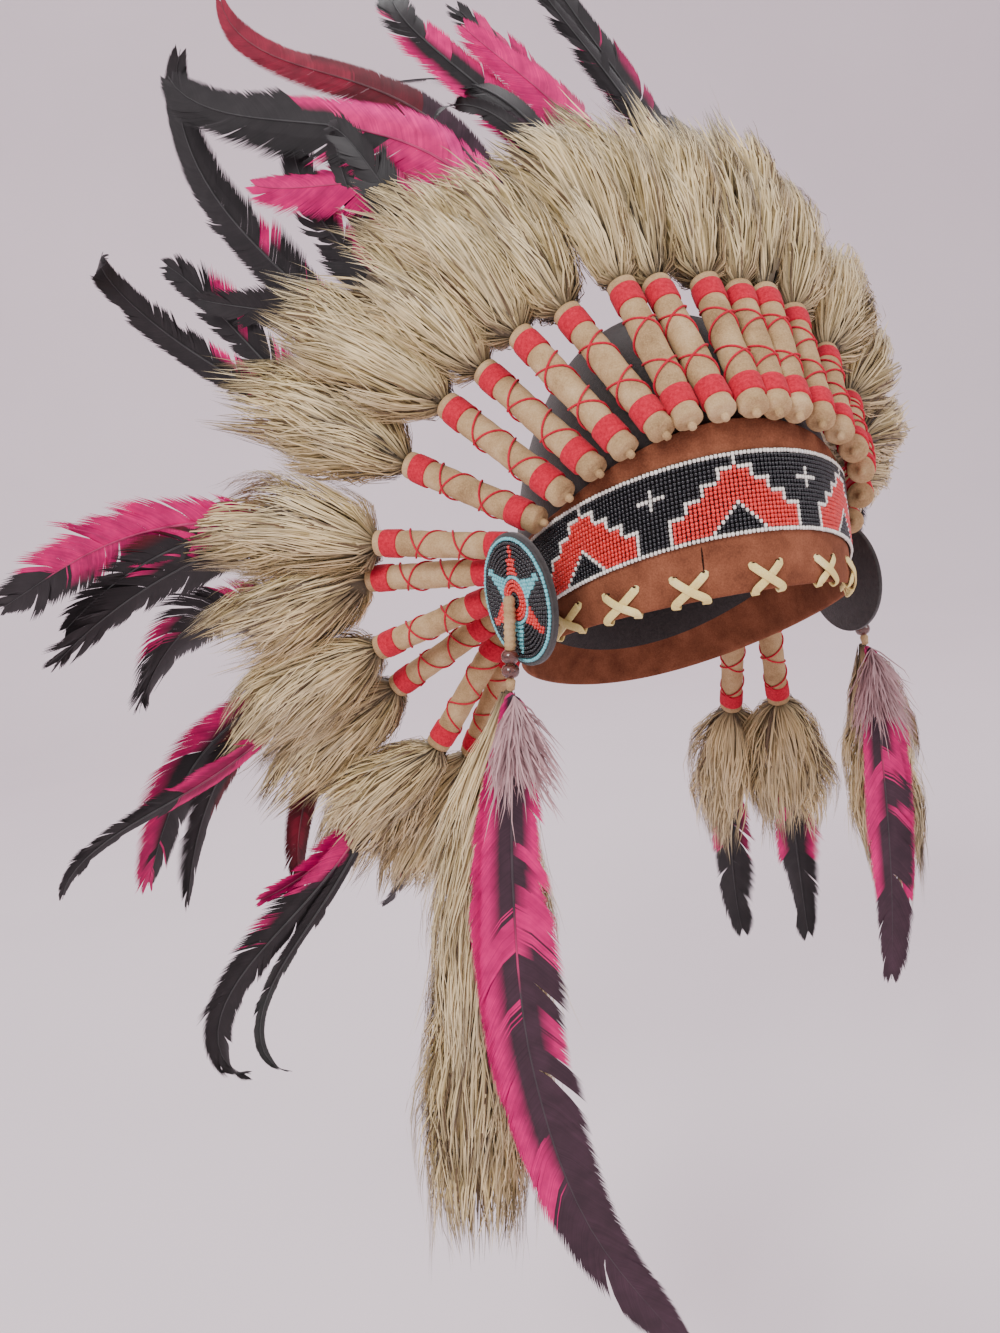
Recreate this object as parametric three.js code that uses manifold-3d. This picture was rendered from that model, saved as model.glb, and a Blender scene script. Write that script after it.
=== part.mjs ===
// Feathered headdress: a leather browband and a felt skull cap carry a fan of leather tubes.
// A fur tuft and long feathers stand out of the end of each tube.  A beaded strip and a lace run
// round the brow, and a beaded rosette on each side carries a drop of beads, fur and feathers.
// Millimetres.  The face looks along -Y, the wearer's left is +X and +Z is up.  The origin is the
// middle of the head opening, level with the lower edge of the brow.
import * as THREE from "three";
import { mergeVertices } from "three/addons/utils/BufferGeometryUtils.js";
import Module from "manifold-3d";

const wasm = await Module();
wasm.setup();

// ---- Driving dimensions ------------------------------------------------------------------
const DEG = Math.PI / 180;
const GAP = 0.3;                 // clearance between touching pieces

const HEAD_WIDE = 80;            // half width of the band outside, ear to ear
const HEAD_LONG = 100;           // half length of the band outside, brow to nape
const EDGE_DROP = 38.2;          // the lower edge falls this much for each 1 - cos(angle)
const EDGE_ARCH = 3.0;           // and is arched over the ears
const LEAN_MID = 2.1;            // degrees that the wall leans inwards
const LEAN_SWING = 0.8;          // more lean at brow and nape, less over the ears

const LEATHER = 2.0;             // thickness of the band's leather
const FELT = 2.0;                // thickness of the skull cap's felt
const STRIP_LOW = 24.6;          // lower edge of the bead strip above the band's edge, at the brow
const STRIP_FALL = 15.1;         // less of that margin for each 1 - cos(angle)
const STRIP_HIGH = 34.4;         // height of the bead strip
const STRIP_THICK = 1.8;
const MARGIN_LOW = 3;            // leather that shows above the strip over the ears
const MARGIN_BROW = 10;          // and the extra height of it at the brow

const CAP_TOP = 121;             // crown of the cap above the brow's lower edge
const CAP_TUCK = 12;             // how far the cap's rim reaches down inside the band
const CAP_EASE = 1.2;            // slack between cap and band

const TUBE_LONG = 76;
const TUBE_OUT = 9.3;            // axis of a tube's foot outside the band's face
const FOOT_MID = 1;              // height of the feet above the strip
const FOOT_SWING = 15;           // and the rise of that row of feet towards the brow
const FOOT_TURN = 1.6;

const TUFT_LONG = 104;
const EXIT = 0.56;               // how far along its tuft a feather comes clear
const BLADE_THICK = 2.2;

const ROSETTE_R = 29.5;          // felt disc
const ROSETTE_BEAD_R = 28;       // beadwork on it
const ROSETTE_OUT = 22;          // back of the disc outside the band's face, past the tubes

const LACE_WIDE = 2.9;
const LACE_THICK = 1.1;

// One row for each tube, from the wearer's right ear over the brow to the left ear, in degrees.
// at: place on the band.  out, up: heading of the tube, from straight back and from level.
// side, lift: how its tuft leaves that heading.  bend, toward: how much the tuft curves, and where.
const TUBES = [
  { at: -126, out: -47, up: -58, side: -3, lift: 11, bend: 22, toward: 349 },
  { at: -114, out: -60, up: -52, side: 0, lift: 23, bend: 30, toward: 321 },
  { at: -102, out: -50, up: -28, side: -1, lift: 2, bend: 18, toward: 251 },
  { at: -90, out: -52, up: -18, side: 0, lift: 0, bend: 21, toward: 255 },
  { at: -78, out: -51, up: 0, side: 1, lift: -16, bend: 2, toward: 183 },
  { at: -68, out: -51, up: 5, side: 3, lift: 13, bend: 23, toward: 265 },
  { at: -58, out: -42, up: 23, side: 4, lift: 10, bend: 26, toward: 258 },
  { at: -48, out: -37, up: 35, side: 0, lift: 0, bend: 17, toward: 251 },
  { at: -38, out: -32, up: 38, side: 6, lift: 10, bend: 34, toward: 248 },
  { at: -29, out: -31, up: 44, side: 7, lift: 9, bend: 30, toward: 253 },
  { at: -19, out: -24, up: 45, side: 6, lift: 7, bend: 24, toward: 238 },
  { at: -12, out: -10, up: 51, side: 5, lift: 4, bend: 33, toward: 236 },
  { at: -3, out: -7, up: 48, side: 7, lift: 4, bend: 18, toward: 230 },
  { at: 6, out: 3, up: 46, side: 3, lift: 1, bend: 7, toward: 233 },
  { at: 13, out: 9, up: 43, side: 2, lift: 1, bend: 5, toward: 186 },
  { at: 20, out: 12, up: 43, side: 4, lift: 0, bend: 11, toward: 250 },
  { at: 29, out: 15, up: 38, side: 8, lift: 1, bend: 19, toward: 217 },
  { at: 38, out: 21, up: 26, side: 8, lift: 1, bend: 12, toward: 250 },
  { at: 48, out: 24, up: 14, side: 6, lift: 1, bend: 12, toward: 260 },
  { at: 58, out: 25, up: 6, side: 4, lift: 0, bend: 12, toward: 260 },
  { at: 70, out: 22, up: 2, side: 3, lift: 0, bend: 14, toward: 265 },
  { at: 82, out: 12, up: 4, side: 2, lift: 0, bend: 16, toward: 265 },
  { at: 128, out: 24, up: -62, side: 0, lift: 0, bend: 8, toward: 265 },
  { at: 140, out: 8, up: -60, side: 0, lift: 0, bend: 8, toward: 265 },
];

// One row for each long feather.  tube: the tube that it stands in, counted from 1.
// side, lift: how it leaves its tuft.  bend, toward: its curve and where that goes.
// curl: extra curve near the tip.  long: from where it comes clear.  wide: across the vane.
const FEATHERS = [
  { tube: 1, side: 3, lift: -3, bend: 3, toward: 120, curl: 21, long: 95, wide: 12 },
  { tube: 2, side: -30, lift: -25, bend: 56, toward: 138, curl: -170, long: 200, wide: 22 },
  { tube: 2, side: -22, lift: -16, bend: 47, toward: 160, curl: 8, long: 90, wide: 13 },
  { tube: 3, side: 0, lift: -14, bend: 40, toward: 262, curl: 30, long: 120, wide: 15 },
  { tube: 4, side: -8, lift: 20, bend: 78, toward: 270, curl: -20, long: 171, wide: 30 },
  { tube: 4, side: -15, lift: -20, bend: 90, toward: 151, curl: -127, long: 177, wide: 13 },
  { tube: 5, side: 18, lift: 30, bend: 76, toward: 248, curl: 16, long: 150, wide: 28 },
  { tube: 6, side: -23, lift: 11, bend: 66, toward: 292, curl: -26, long: 192, wide: 22 },
  { tube: 6, side: -3, lift: -13, bend: 41, toward: 224, curl: 18, long: 160, wide: 24 },
  { tube: 7, side: 4, lift: -3, bend: 65, toward: 137, curl: 121, long: 180, wide: 14 },
  { tube: 7, side: 2, lift: 14, bend: 40, toward: 116, curl: -55, long: 135, wide: 18 },
  { tube: 8, side: 3, lift: 14, bend: 4, toward: 273, curl: -104, long: 213, wide: 19 },
  { tube: 8, side: 14, lift: 8, bend: 73, toward: 205, curl: -43, long: 105, wide: 15 },
  { tube: 9, side: -3, lift: -8, bend: 45, toward: 91, curl: 27, long: 120, wide: 22 },
  { tube: 10, side: 1, lift: -20, bend: 110, toward: 112, curl: -120, long: 101, wide: 16 },
  { tube: 11, side: 2, lift: 14, bend: 109, toward: 220, curl: -110, long: 216, wide: 20 },
  { tube: 11, side: 9, lift: 20, bend: 97, toward: 233, curl: -108, long: 250, wide: 14 },
  { tube: 12, side: 16, lift: 0, bend: 113, toward: 164, curl: -170, long: 179, wide: 18 },
  { tube: 12, side: -5, lift: 30, bend: 99, toward: 259, curl: -45, long: 182, wide: 10 },
  { tube: 13, side: 16, lift: -9, bend: 80, toward: 157, curl: -39, long: 160, wide: 20 },
  { tube: 14, side: 18, lift: -15, bend: 110, toward: 138, curl: -88, long: 181, wide: 20 },
  { tube: 15, side: 4, lift: 2, bend: 20, toward: 200, curl: 40, long: 110, wide: 18 },
  { tube: 16, side: 2, lift: 6, bend: 24, toward: 240, curl: 40, long: 120, wide: 18 },
  { tube: 17, side: 0, lift: 4, bend: 26, toward: 250, curl: 40, long: 140, wide: 18 },
  { tube: 18, side: 0, lift: 4, bend: 30, toward: 260, curl: 40, long: 150, wide: 18 },
  { tube: 19, side: 0, lift: 3, bend: 30, toward: 262, curl: 40, long: 160, wide: 20 },
  { tube: 20, side: 0, lift: 3, bend: 30, toward: 265, curl: 40, long: 165, wide: 20 },
  { tube: 21, side: 0, lift: 3, bend: 32, toward: 268, curl: 40, long: 165, wide: 22 },
  { tube: 22, side: 0, lift: 3, bend: 34, toward: 270, curl: 30, long: 160, wide: 22 },
  { tube: 23, side: 0, lift: 0, bend: 16, toward: 275, curl: 30, long: 130, wide: 22 },
  { tube: 24, side: 0, lift: 0, bend: 16, toward: 275, curl: 30, long: 130, wide: 22 },
];

// ---- Materials ---------------------------------------------------------------------------
function finish(color, roughness, metalness = 0) {
  return new THREE.MeshStandardMaterial({ color, roughness, metalness });
}
const brownLeather = () => finish(0x7d4a33, 0.75);
const blackFelt = () => finish(0x2a2625, 0.95);
const seedBeads = () => finish(0x17181c, 0.3);
const tanLeather = () => finish(0xcfa982, 0.8);
const furTuft = () => finish(0xb4a583, 0.9);
const dyedFeather = () => finish(0xc81c58, 0.6);
const paleLace = () => finish(0xe4cd8e, 0.7);

// ---- The band's surface ------------------------------------------------------------------
// Height of the lower edge at an angle from the brow, positive towards the wearer's left.
function edgeHeight(angle) {
  return -EDGE_DROP * (1 - Math.cos(angle)) + EDGE_ARCH * (1 - Math.cos(2 * angle));
}

function stripLow(angle) {
  return STRIP_LOW - STRIP_FALL * (1 - Math.cos(angle));
}

function bandHigh(angle) {
  const brow = Math.max(0, Math.cos(FOOT_TURN * Math.min(Math.abs(angle), Math.PI / FOOT_TURN)));
  return stripLow(angle) + STRIP_HIGH + MARGIN_LOW + MARGIN_BROW * brow;
}

function outward(angle) {
  return new THREE.Vector3(Math.sin(angle) / HEAD_WIDE, -Math.cos(angle) / HEAD_LONG, 0).normalize();
}

// The point of the band's outer face at an angle and a height above its lower edge, moved off it.
function bandPoint(angle, height, off = 0) {
  const lean = (LEAN_MID + LEAN_SWING * Math.cos(2 * angle)) * DEG;
  const point = new THREE.Vector3(HEAD_WIDE * Math.sin(angle), -HEAD_LONG * Math.cos(angle), 0);
  point.addScaledVector(outward(angle), off - height * Math.tan(lean));
  point.z = edgeHeight(angle) + height;
  return point;
}

// ---- Making and joining solids -----------------------------------------------------------
// A primitive with its vertices merged, each moved to where the rule puts it.
function reshape(source, rule) {
  const geometry = source.clone();
  geometry.deleteAttribute("normal");
  geometry.deleteAttribute("uv");
  const merged = mergeVertices(geometry, 1e-4);
  const places = merged.getAttribute("position");
  for (let i = 0; i < places.count; i += 1) {
    const moved = rule(places.getX(i), places.getY(i), places.getZ(i));
    places.setXYZ(i, moved.x, moved.y, moved.z);
  }
  return merged;
}

function toSolid(geometry) {
  const vertProperties = new Float32Array(geometry.getAttribute("position").array);
  const triVerts = new Uint32Array(geometry.getIndex().array);
  return new wasm.Manifold(new wasm.Mesh({ numProp: 3, vertProperties, triVerts }));
}

function toGeometry(solid) {
  const mesh = solid.getMesh();
  const geometry = new THREE.BufferGeometry();
  geometry.setAttribute("position", new THREE.BufferAttribute(mesh.vertProperties, 3));
  geometry.setIndex(new THREE.BufferAttribute(mesh.triVerts, 1));
  return geometry;
}

function join(solids) {
  return solids.reduce((whole, piece) => whole.add(piece));
}

const headdress = new THREE.Group();

function addPiece(name, geometry, material) {
  const mesh = new THREE.Mesh(geometry, material);
  mesh.name = name;
  headdress.add(mesh);
}

// ---- Headband ----------------------------------------------------------------------------
// A leather ring, low at the nape and high at the brow, one wall all the way round.
function ringWall(innerOff, outerOff, low, high, steps) {
  const loop = [[1, 0], [2, 0], [2, 1], [1, 1], [1, 0]].map(([r, y]) => new THREE.Vector2(r, y));
  return reshape(new THREE.LatheGeometry(loop, steps), (x, y, z) => {
    const angle = Math.atan2(x, z);
    const off = innerOff + (Math.hypot(x, z) - 1) * (outerOff - innerOff);
    return bandPoint(angle, THREE.MathUtils.lerp(low(angle), high(angle), y), off);
  });
}
addPiece("headband", ringWall(-LEATHER, 0, () => 0, bandHigh, 48), brownLeather());

// ---- Skull cap ---------------------------------------------------------------------------
// A felt dome, open below, whose rim is tucked inside the band.
const CAP_STEPS = 6;
const capProfile = [];
for (let i = 0; i <= CAP_STEPS; i += 1) {
  const turn = (i / CAP_STEPS) * Math.PI / 2;
  capProfile.push(new THREE.Vector2(i === CAP_STEPS ? 0 : 2 + Math.cos(turn), Math.sin(turn)));
}
for (let i = CAP_STEPS; i >= 0; i -= 1) {
  const turn = (i / CAP_STEPS) * Math.PI / 2;
  capProfile.push(new THREE.Vector2(i === CAP_STEPS ? 0 : Math.cos(turn), Math.sin(turn) - 2));
}
capProfile.push(capProfile[0].clone());

function capPoint(x, y, z) {
  const angle = Math.atan2(x, z);
  const inner = y < -0.5;
  const rise = inner ? y + 2 : y;
  const radius = Math.hypot(x, z);
  const reach = radius < 1e-6 ? 0 : inner ? radius : radius - 2;
  const rimHeight = bandHigh(angle) - CAP_TUCK;
  const rim = bandPoint(angle, rimHeight, -LEATHER - CAP_EASE - (inner ? FELT : 0));
  const top = CAP_TOP - (inner ? FELT : 0);
  return new THREE.Vector3(rim.x * reach, rim.y * reach, rim.z + (top - rim.z) * rise);
}
addPiece("skull_cap", reshape(new THREE.LatheGeometry(capProfile, 28), capPoint), blackFelt());

// ---- Beaded strip ------------------------------------------------------------------------
// A bead-woven strip sewn to the brow, from under one rosette to under the other.
const STRIP_FROM = -80 * DEG;
const STRIP_TO = 96 * DEG;
const stripBox = new THREE.BoxGeometry(1, 1, 1, 36, 1, 1);
addPiece("beaded_strip", reshape(stripBox, (x, y, z) => {
  const angle = THREE.MathUtils.lerp(STRIP_FROM, STRIP_TO, x + 0.5);
  const height = stripLow(angle) + (y + 0.5) * STRIP_HIGH;
  return bandPoint(angle, height, GAP + (z + 0.5) * STRIP_THICK);
}), seedBeads());

// ---- Brow lacing -------------------------------------------------------------------------
// A flat lace that runs along the inside of the lower edge and crosses over it in X stitches.
const STITCHES = [-58, -38, -17, 7, 32, 55];
const STITCH_HALF = 7.6;         // half width of an X
const STITCH_TOP = 10.5;         // where the lace enters its slits, above the edge
const LACE_RUN_LOW = 1.2;
const LACE_RUN_HIGH = 4.2;
const UNDER = 3 * GAP;          // the lace clears the edge that it turns round

// A strip of lace between two places on the band, given as angle, height and distance off it.
function laceStrip(from, to, steps) {
  const half = LACE_WIDE / 2;
  return toSolid(reshape(new THREE.BoxGeometry(1, 1, 1, steps, 1, 1), (x, y, z) => {
    const t = x + 0.5;
    const angle = THREE.MathUtils.lerp(from.angle, to.angle, t);
    const height = THREE.MathUtils.lerp(from.height, to.height, t);
    const off = THREE.MathUtils.lerp(from.off, to.off, t);
    const along = bandPoint(to.angle, to.height).sub(bandPoint(from.angle, from.height)).normalize();
    const across = outward(angle).cross(along).normalize();
    const point = bandPoint(angle, height, off + z * LACE_THICK);
    return point.addScaledVector(across, y * half * 2);
  }));
}

// The turn of the lace round the band's edge, from the X in front to the run behind.
function laceTurn(angle, front, back) {
  const low = -UNDER - LACE_THICK;
  const outline = [[front + LACE_THICK / 2, 1.5], [front + LACE_THICK / 2, low],
    [back - LACE_THICK / 2, low], [back - LACE_THICK / 2, LACE_RUN_HIGH],
    [back + LACE_THICK / 2, LACE_RUN_HIGH], [back + LACE_THICK / 2, -UNDER],
    [front - LACE_THICK / 2, -UNDER], [front - LACE_THICK / 2, 1.5]];
  const shape = new THREE.Shape(outline.map(([off, height]) => new THREE.Vector2(off, height)));
  const turn = new THREE.ExtrudeGeometry(shape, { depth: LACE_WIDE, bevelEnabled: false });
  const sideways = outward(angle).cross(new THREE.Vector3(0, 0, 1));
  return toSolid(reshape(turn, (off, height, z) => (
    bandPoint(angle, height, off).addScaledVector(sideways, z - LACE_WIDE / 2)
  )));
}

function laceAll() {
  const front = GAP + 0.1 + LACE_THICK / 2;
  const back = -LEATHER - 2.5 * GAP - LACE_THICK / 2;
  const pieces = [];
  for (const place of STITCHES) {
    const middle = place * DEG;
    const half = STITCH_HALF / bandPoint(middle, 0).length();
    const feet = [middle - half, middle + half];
    for (const [from, to] of [feet, [feet[1], feet[0]]]) {
      const foot = { angle: from, height: 0, off: front };
      pieces.push(laceStrip(foot, { angle: to, height: STITCH_TOP, off: front }, 2));
      pieces.push(laceTurn(from, front, back));
    }
  }
  const first = STITCHES[0] * DEG - 0.12;
  const last = STITCHES[STITCHES.length - 1] * DEG + 0.12;
  pieces.push(toSolid(reshape(new THREE.BoxGeometry(1, 1, 1, 24, 1, 1), (x, y, z) => bandPoint(
    THREE.MathUtils.lerp(first, last, x + 0.5),
    THREE.MathUtils.lerp(LACE_RUN_LOW, LACE_RUN_HIGH, y + 0.5),
    back + z * LACE_THICK * 0.8,
  ))));
  return toGeometry(join(pieces));
}
addPiece("brow_lacing", laceAll(), paleLace());

// ---- Rosettes ----------------------------------------------------------------------------
// A felt disc with round beadwork on it, tied on over the feet of the tubes.
// One row a side: at: place on the band, faces: heading of its front, above: centre over the edge.
const ROSETTES = [
  { name: "right", at: -59, faces: -71, above: 21 },
  { name: "left", at: 104, faces: 104, above: 18 },
];
const DISC = 2.2;
const rosetteProfile = [[0, 0], [ROSETTE_R, 0], [ROSETTE_R, DISC], [ROSETTE_BEAD_R, DISC],
  [ROSETTE_BEAD_R, 2 * DISC - 0.4], [0, 2 * DISC]].map(([r, y]) => new THREE.Vector2(r, y));

// Turns the direction that a lathe is turned about, +Y, to a heading, and moves it to a place.
function placeAlong(source, heading, place) {
  const turn = new THREE.Quaternion().setFromUnitVectors(new THREE.Vector3(0, 1, 0), heading);
  return reshape(source, (x, y, z) => new THREE.Vector3(x, y, z).applyQuaternion(turn).add(place));
}

function rosetteFrame(row) {
  const faces = row.faces * DEG;
  return {
    front: new THREE.Vector3(Math.sin(faces), -Math.cos(faces), 0),
    centre: bandPoint(row.at * DEG, row.above, ROSETTE_OUT),
  };
}
for (const row of ROSETTES) {
  const { front, centre } = rosetteFrame(row);
  const disc = placeAlong(new THREE.LatheGeometry(rosetteProfile, 24), front, centre);
  addPiece(`rosette_${row.name}`, disc, seedBeads());
}

// ---- Tubes -------------------------------------------------------------------------------
// Rolled leather over the quills, bound with thread near both ends.
const FOOT = 6;                  // bare leather below the lower binding
const TUBE_R = 6;
const FOOT_R = 5.2;
const tubeProfile = [[0, 0], [FOOT_R, 0], [FOOT_R, FOOT], [TUBE_R, FOOT], [TUBE_R, TUBE_LONG],
  [0, TUBE_LONG]].map(([r, y]) => new THREE.Vector2(r, y));

function headingOf(out, up) {
  return new THREE.Vector3(
    Math.sin(out * DEG) * Math.cos(up * DEG),
    Math.cos(out * DEG) * Math.cos(up * DEG),
    Math.sin(up * DEG),
  );
}

const tubes = TUBES.map((row) => {
  const angle = row.at * DEG;
  const above = stripLow(angle) + STRIP_HIGH + FOOT_MID + FOOT_SWING * Math.cos(FOOT_TURN * angle);
  const foot = bandPoint(angle, above, TUBE_OUT);
  const heading = headingOf(row.out, row.up);
  const tip = foot.clone().addScaledVector(heading, TUBE_LONG);
  return { ...row, foot, heading, tip };
});

const two = (n) => String(n).padStart(2, "0");
tubes.forEach((tube, i) => {
  const turned = placeAlong(new THREE.LatheGeometry(tubeProfile, 8), tube.heading, tube.foot);
  addPiece(`tube_${two(i + 1)}`, turned, tanLeather());
});

// ---- Plumes ------------------------------------------------------------------------------
// The centre line of a tuft or feather: it leaves a start point near a heading and curves.
function sweep(start, heading, row, long, steps = 12) {
  const sideways = heading.clone().cross(new THREE.Vector3(0, 0, 1)).normalize();
  const upwards = sideways.clone().cross(heading);
  const side = row.side * DEG;
  const lift = row.lift * DEG;
  const first = heading.clone().multiplyScalar(Math.cos(side) * Math.cos(lift));
  first.addScaledVector(sideways, Math.sin(side) * Math.cos(lift));
  first.addScaledVector(upwards, Math.sin(lift));
  const aside = sideways.clone().multiplyScalar(Math.cos(row.toward * DEG));
  aside.addScaledVector(upwards, Math.sin(row.toward * DEG));
  aside.addScaledVector(first, -aside.dot(first)).normalize();
  const points = [start.clone()];
  for (let i = 0; i < steps; i += 1) {
    const t = (i + 0.5) / steps;
    const turn = (row.bend * t + (row.curl ?? 0) * t ** 4) * DEG;
    const next = points[i].clone().addScaledVector(first, Math.cos(turn) * long / steps);
    points.push(next.addScaledVector(aside, Math.sin(turn) * long / steps));
  }
  return new THREE.CatmullRomCurve3(points);
}

// A closed form along a curve, with its half sizes across and through it, at t from one to the
// other end.  shift moves it off the curve.
function limb(curve, across, sides, steps, wide, deep, shift = () => [0, 0]) {
  return toSolid(reshape(new THREE.CylinderGeometry(1, 1, 1, sides, steps), (x, y, z) => {
    const t = y + 0.5;
    const ahead = curve.getTangent(t);
    const flat = across.clone().addScaledVector(ahead, -across.dot(ahead)).normalize();
    const through = flat.clone().cross(ahead);
    const [over, out] = shift(t);
    const point = curve.getPoint(t).addScaledVector(flat, x * wide(t) + over);
    return point.addScaledVector(through, z * deep(t) + out);
  }));
}

// Straight values between rows of [t, size].
function along(rows) {
  return (t) => {
    const k = Math.max(1, rows.findIndex((row) => row[0] >= t - 1e-9));
    const [t0, a] = rows[k - 1];
    const [t1, b] = rows[k];
    return THREE.MathUtils.lerp(a, b, (t - t0) / (t1 - t0));
  };
}

const vane = along([[0, 0.25], [0.2, 0.7], [0.4, 1], [0.75, 0.75], [1, 0.06]]);
const brush = along([[0, 0], [0.3, 0.7], [0.65, 1], [1, 0.5]]);
const TUFT_DEEP = 20;            // half depth of a tuft through the fan
const TUFT_WIDE = 22;            // and its most across the fan
const COLLAR = 4.6;              // root of a tuft at its tube
const NECK = 7;                  // straight stretch of the tuft above its tube

const tufts = tubes.map((tube) => {
  const root = tube.tip.clone().addScaledVector(tube.heading, GAP);
  const neck = tube.tip.clone().addScaledVector(tube.heading, NECK);
  const rest = sweep(neck, tube.heading, tube, TUFT_LONG - NECK, 6).points;
  return new THREE.CatmullRomCurve3([root, ...rest]);
});

function fanAcross(i) {
  const here = tubes[i].tip;
  const across = new THREE.Vector3();
  if (i > 0) {
    const before = here.clone().sub(tubes[i - 1].tip);
    across.addScaledVector(before, 1 / before.lengthSq());
  }
  if (i < tubes.length - 1) {
    const after = tubes[i + 1].tip.clone().sub(here);
    across.addScaledVector(after, 1 / after.lengthSq());
  }
  return across.normalize();
}

// Half the room that a tuft has beside its neighbours, at t.
const tuftLines = tufts.map((curve) => curve.getPoints(16));

function roomAt(i, t) {
  const here = tufts[i].getPoint(t);
  const beside = [i - 1, i + 1].filter((k) => k >= 0 && k < tufts.length);
  const points = beside.flatMap((k) => tuftLines[k]);
  return Math.min(...points.map((point) => point.distanceTo(here))) / 2 - GAP;
}

// Locks that end a tuft: where each stands across and through it, and how far it reaches.
const LOCKS = [
  { over: -0.5, out: 0.35, tip: 1.0 },
  { over: 0.5, out: 0.45, tip: 0.96 },
  { over: 0.1, out: -0.55, tip: 1.04 },
];
const LOCK_FROM = 0.5;

function plume(i) {
  const curve = tufts[i];
  const across = fanAcross(i);
  const wide = (t) => Math.min(roomAt(i, t) * 0.9, COLLAR + (TUFT_WIDE - COLLAR) * brush(t));
  const deep = (t) => COLLAR + (TUFT_DEEP - COLLAR) * brush(t);
  const end = (t) => (t > 0.9 ? 0.35 : 1);
  const body = limb(curve, across, 6, 3, (t) => wide(t) * end(t), (t) => deep(t) * end(t));
  const locks = LOCKS.map((lock) => {
    const spots = [0, 0.5, 1].map((k) => {
      const t = THREE.MathUtils.lerp(LOCK_FROM, 0.97, k);
      const ahead = curve.getTangent(t);
      const point = curve.getPoint(t).addScaledVector(across, wide(t) * lock.over * k);
      point.addScaledVector(across.clone().cross(ahead).normalize(), deep(t) * lock.out * k);
      return point.addScaledVector(ahead, k * (lock.tip - 0.97) * TUFT_LONG);
    });
    const taper = (t) => 1 - 0.92 * t * t;
    return limb(new THREE.CatmullRomCurve3(spots), across, 4, 2,
      (t) => wide(LOCK_FROM) * 0.55 * taper(t), (t) => deep(LOCK_FROM) * 0.55 * taper(t));
  });
  const blades = FEATHERS.filter((row) => row.tube === i + 1).map((row) => {
    const line = sweep(curve.getPoint(EXIT), curve.getTangent(EXIT), row, row.long);
    return limb(line, across, 4, 5, (t) => vane(t) * row.wide / 2, () => BLADE_THICK / 2);
  });
  return join([body, ...locks, ...blades]);
}

tufts.forEach((curve, i) => {
  addPiece(`plume_${two(i + 1)}`, toGeometry(plume(i)), furTuft());
});

// ---- Drops -------------------------------------------------------------------------------
// Below each rosette hang a thong with two beads, a strip of fur and long feathers.
// out: 1 on the wearer's right.  fur, feather: length against the full drop.  sway: how far it
// hangs outwards as it falls.  curl: how far its feathers turn back in.  beside: fur outside them.
const THONG_R = 2.2;
const BEAD_R = 3.9;
const BEAD_GAP = 6.6;
const FUR_DROP = 262;
const FEATHER_DROP = 350;
const DROPS = [
  { name: "right", out: 1, fur: 1, feather: 1, sway: 0.16, curl: 1, beside: 5 },
  { name: "left", out: -1, fur: 0.5, feather: 0.55, sway: 0.03, curl: 0.2, beside: 12 },
];

function dropFrame(row) {
  const rosette = ROSETTES.find((one) => one.name === row.name);
  const { front, centre } = rosetteFrame(rosette);
  const top = centre.clone().addScaledVector(front, 2 * DISC + THONG_R + GAP);
  return { top };
}

// Thong and beads: they lie on the rosette and hang from its middle past its lower edge.
const thongProfile = [[0, 0], [THONG_R, 0], [THONG_R, 20]];
for (const k of [0, 1]) {
  const middle = 24 + k * BEAD_GAP;
  thongProfile.push([BEAD_R * 0.7, middle - 2.4], [BEAD_R, middle], [BEAD_R * 0.7, middle + 2.4]);
}
thongProfile.push([THONG_R, 36], [THONG_R, 39], [0, 39]);
for (const row of DROPS) {
  const { top } = dropFrame(row);
  const profile = thongProfile.map(([r, y]) => new THREE.Vector2(r, y));
  const down = new THREE.Vector3(-row.out * 0.12, 0, -1).normalize();
  addPiece(`drop_beads_${row.name}`, placeAlong(new THREE.LatheGeometry(profile, 8), down, top),
    finish(0x5d352d, 0.35));
}

// Where a drop hangs at a depth below its beads; out turns it away from the head as it falls.
function dropPoint(row, depth, ahead) {
  const { top } = dropFrame(row);
  const point = top.clone().add(new THREE.Vector3(-row.out * (4.7 + depth * row.sway), 0, 0));
  point.y -= ahead;
  point.z -= 40 + depth;
  return point;
}

const EAST = new THREE.Vector3(1, 0, 0);
const FUR_LOCKS = 7;
const furHalf = along([[0, 5], [0.2, 22], [0.45, 33], [0.75, 34], [1, 20]]);
for (const row of DROPS) {
  const long = FUR_DROP * row.fur;
  const spots = [0, 0.33, 0.66, 1].map((t) => {
    const point = dropPoint(row, t * long, -6 - 14 * Math.min(1, 3 * t));
    point.x -= row.out * row.beside * Math.min(1, 3 * t);
    return point;
  });
  const curve = new THREE.CatmullRomCurve3(spots);
  const size = Math.sqrt(row.fur);
  const body = limb(curve, EAST, 7, 5, (t) => furHalf(t) * size, (t) => furHalf(t) * size * 0.45);
  const locks = [];
  for (let k = 0; k < FUR_LOCKS; k += 1) {
    const over = THREE.MathUtils.lerp(-1, 1, k / (FUR_LOCKS - 1));
    const from = 0.25 + 0.35 * ((k * 3) % FUR_LOCKS) / FUR_LOCKS;
    const reach = [from, (from + 1) / 2, 1].map((t, n) => {
      const point = curve.getPoint(t);
      point.x += over * furHalf(t) * size * (0.55 + 0.22 * n);
      return point.add(new THREE.Vector3(0, 0, n === 2 ? -14 + 6 * Math.abs(over) : 0));
    });
    locks.push(limb(new THREE.CatmullRomCurve3(reach), EAST, 4, 2,
      (t) => 10 * size * (1 - 0.9 * t), (t) => 8 * size * (1 - 0.9 * t)));
  }
  addPiece(`drop_fur_${row.name}`, toGeometry(join([body, ...locks])), furTuft());
}

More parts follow.
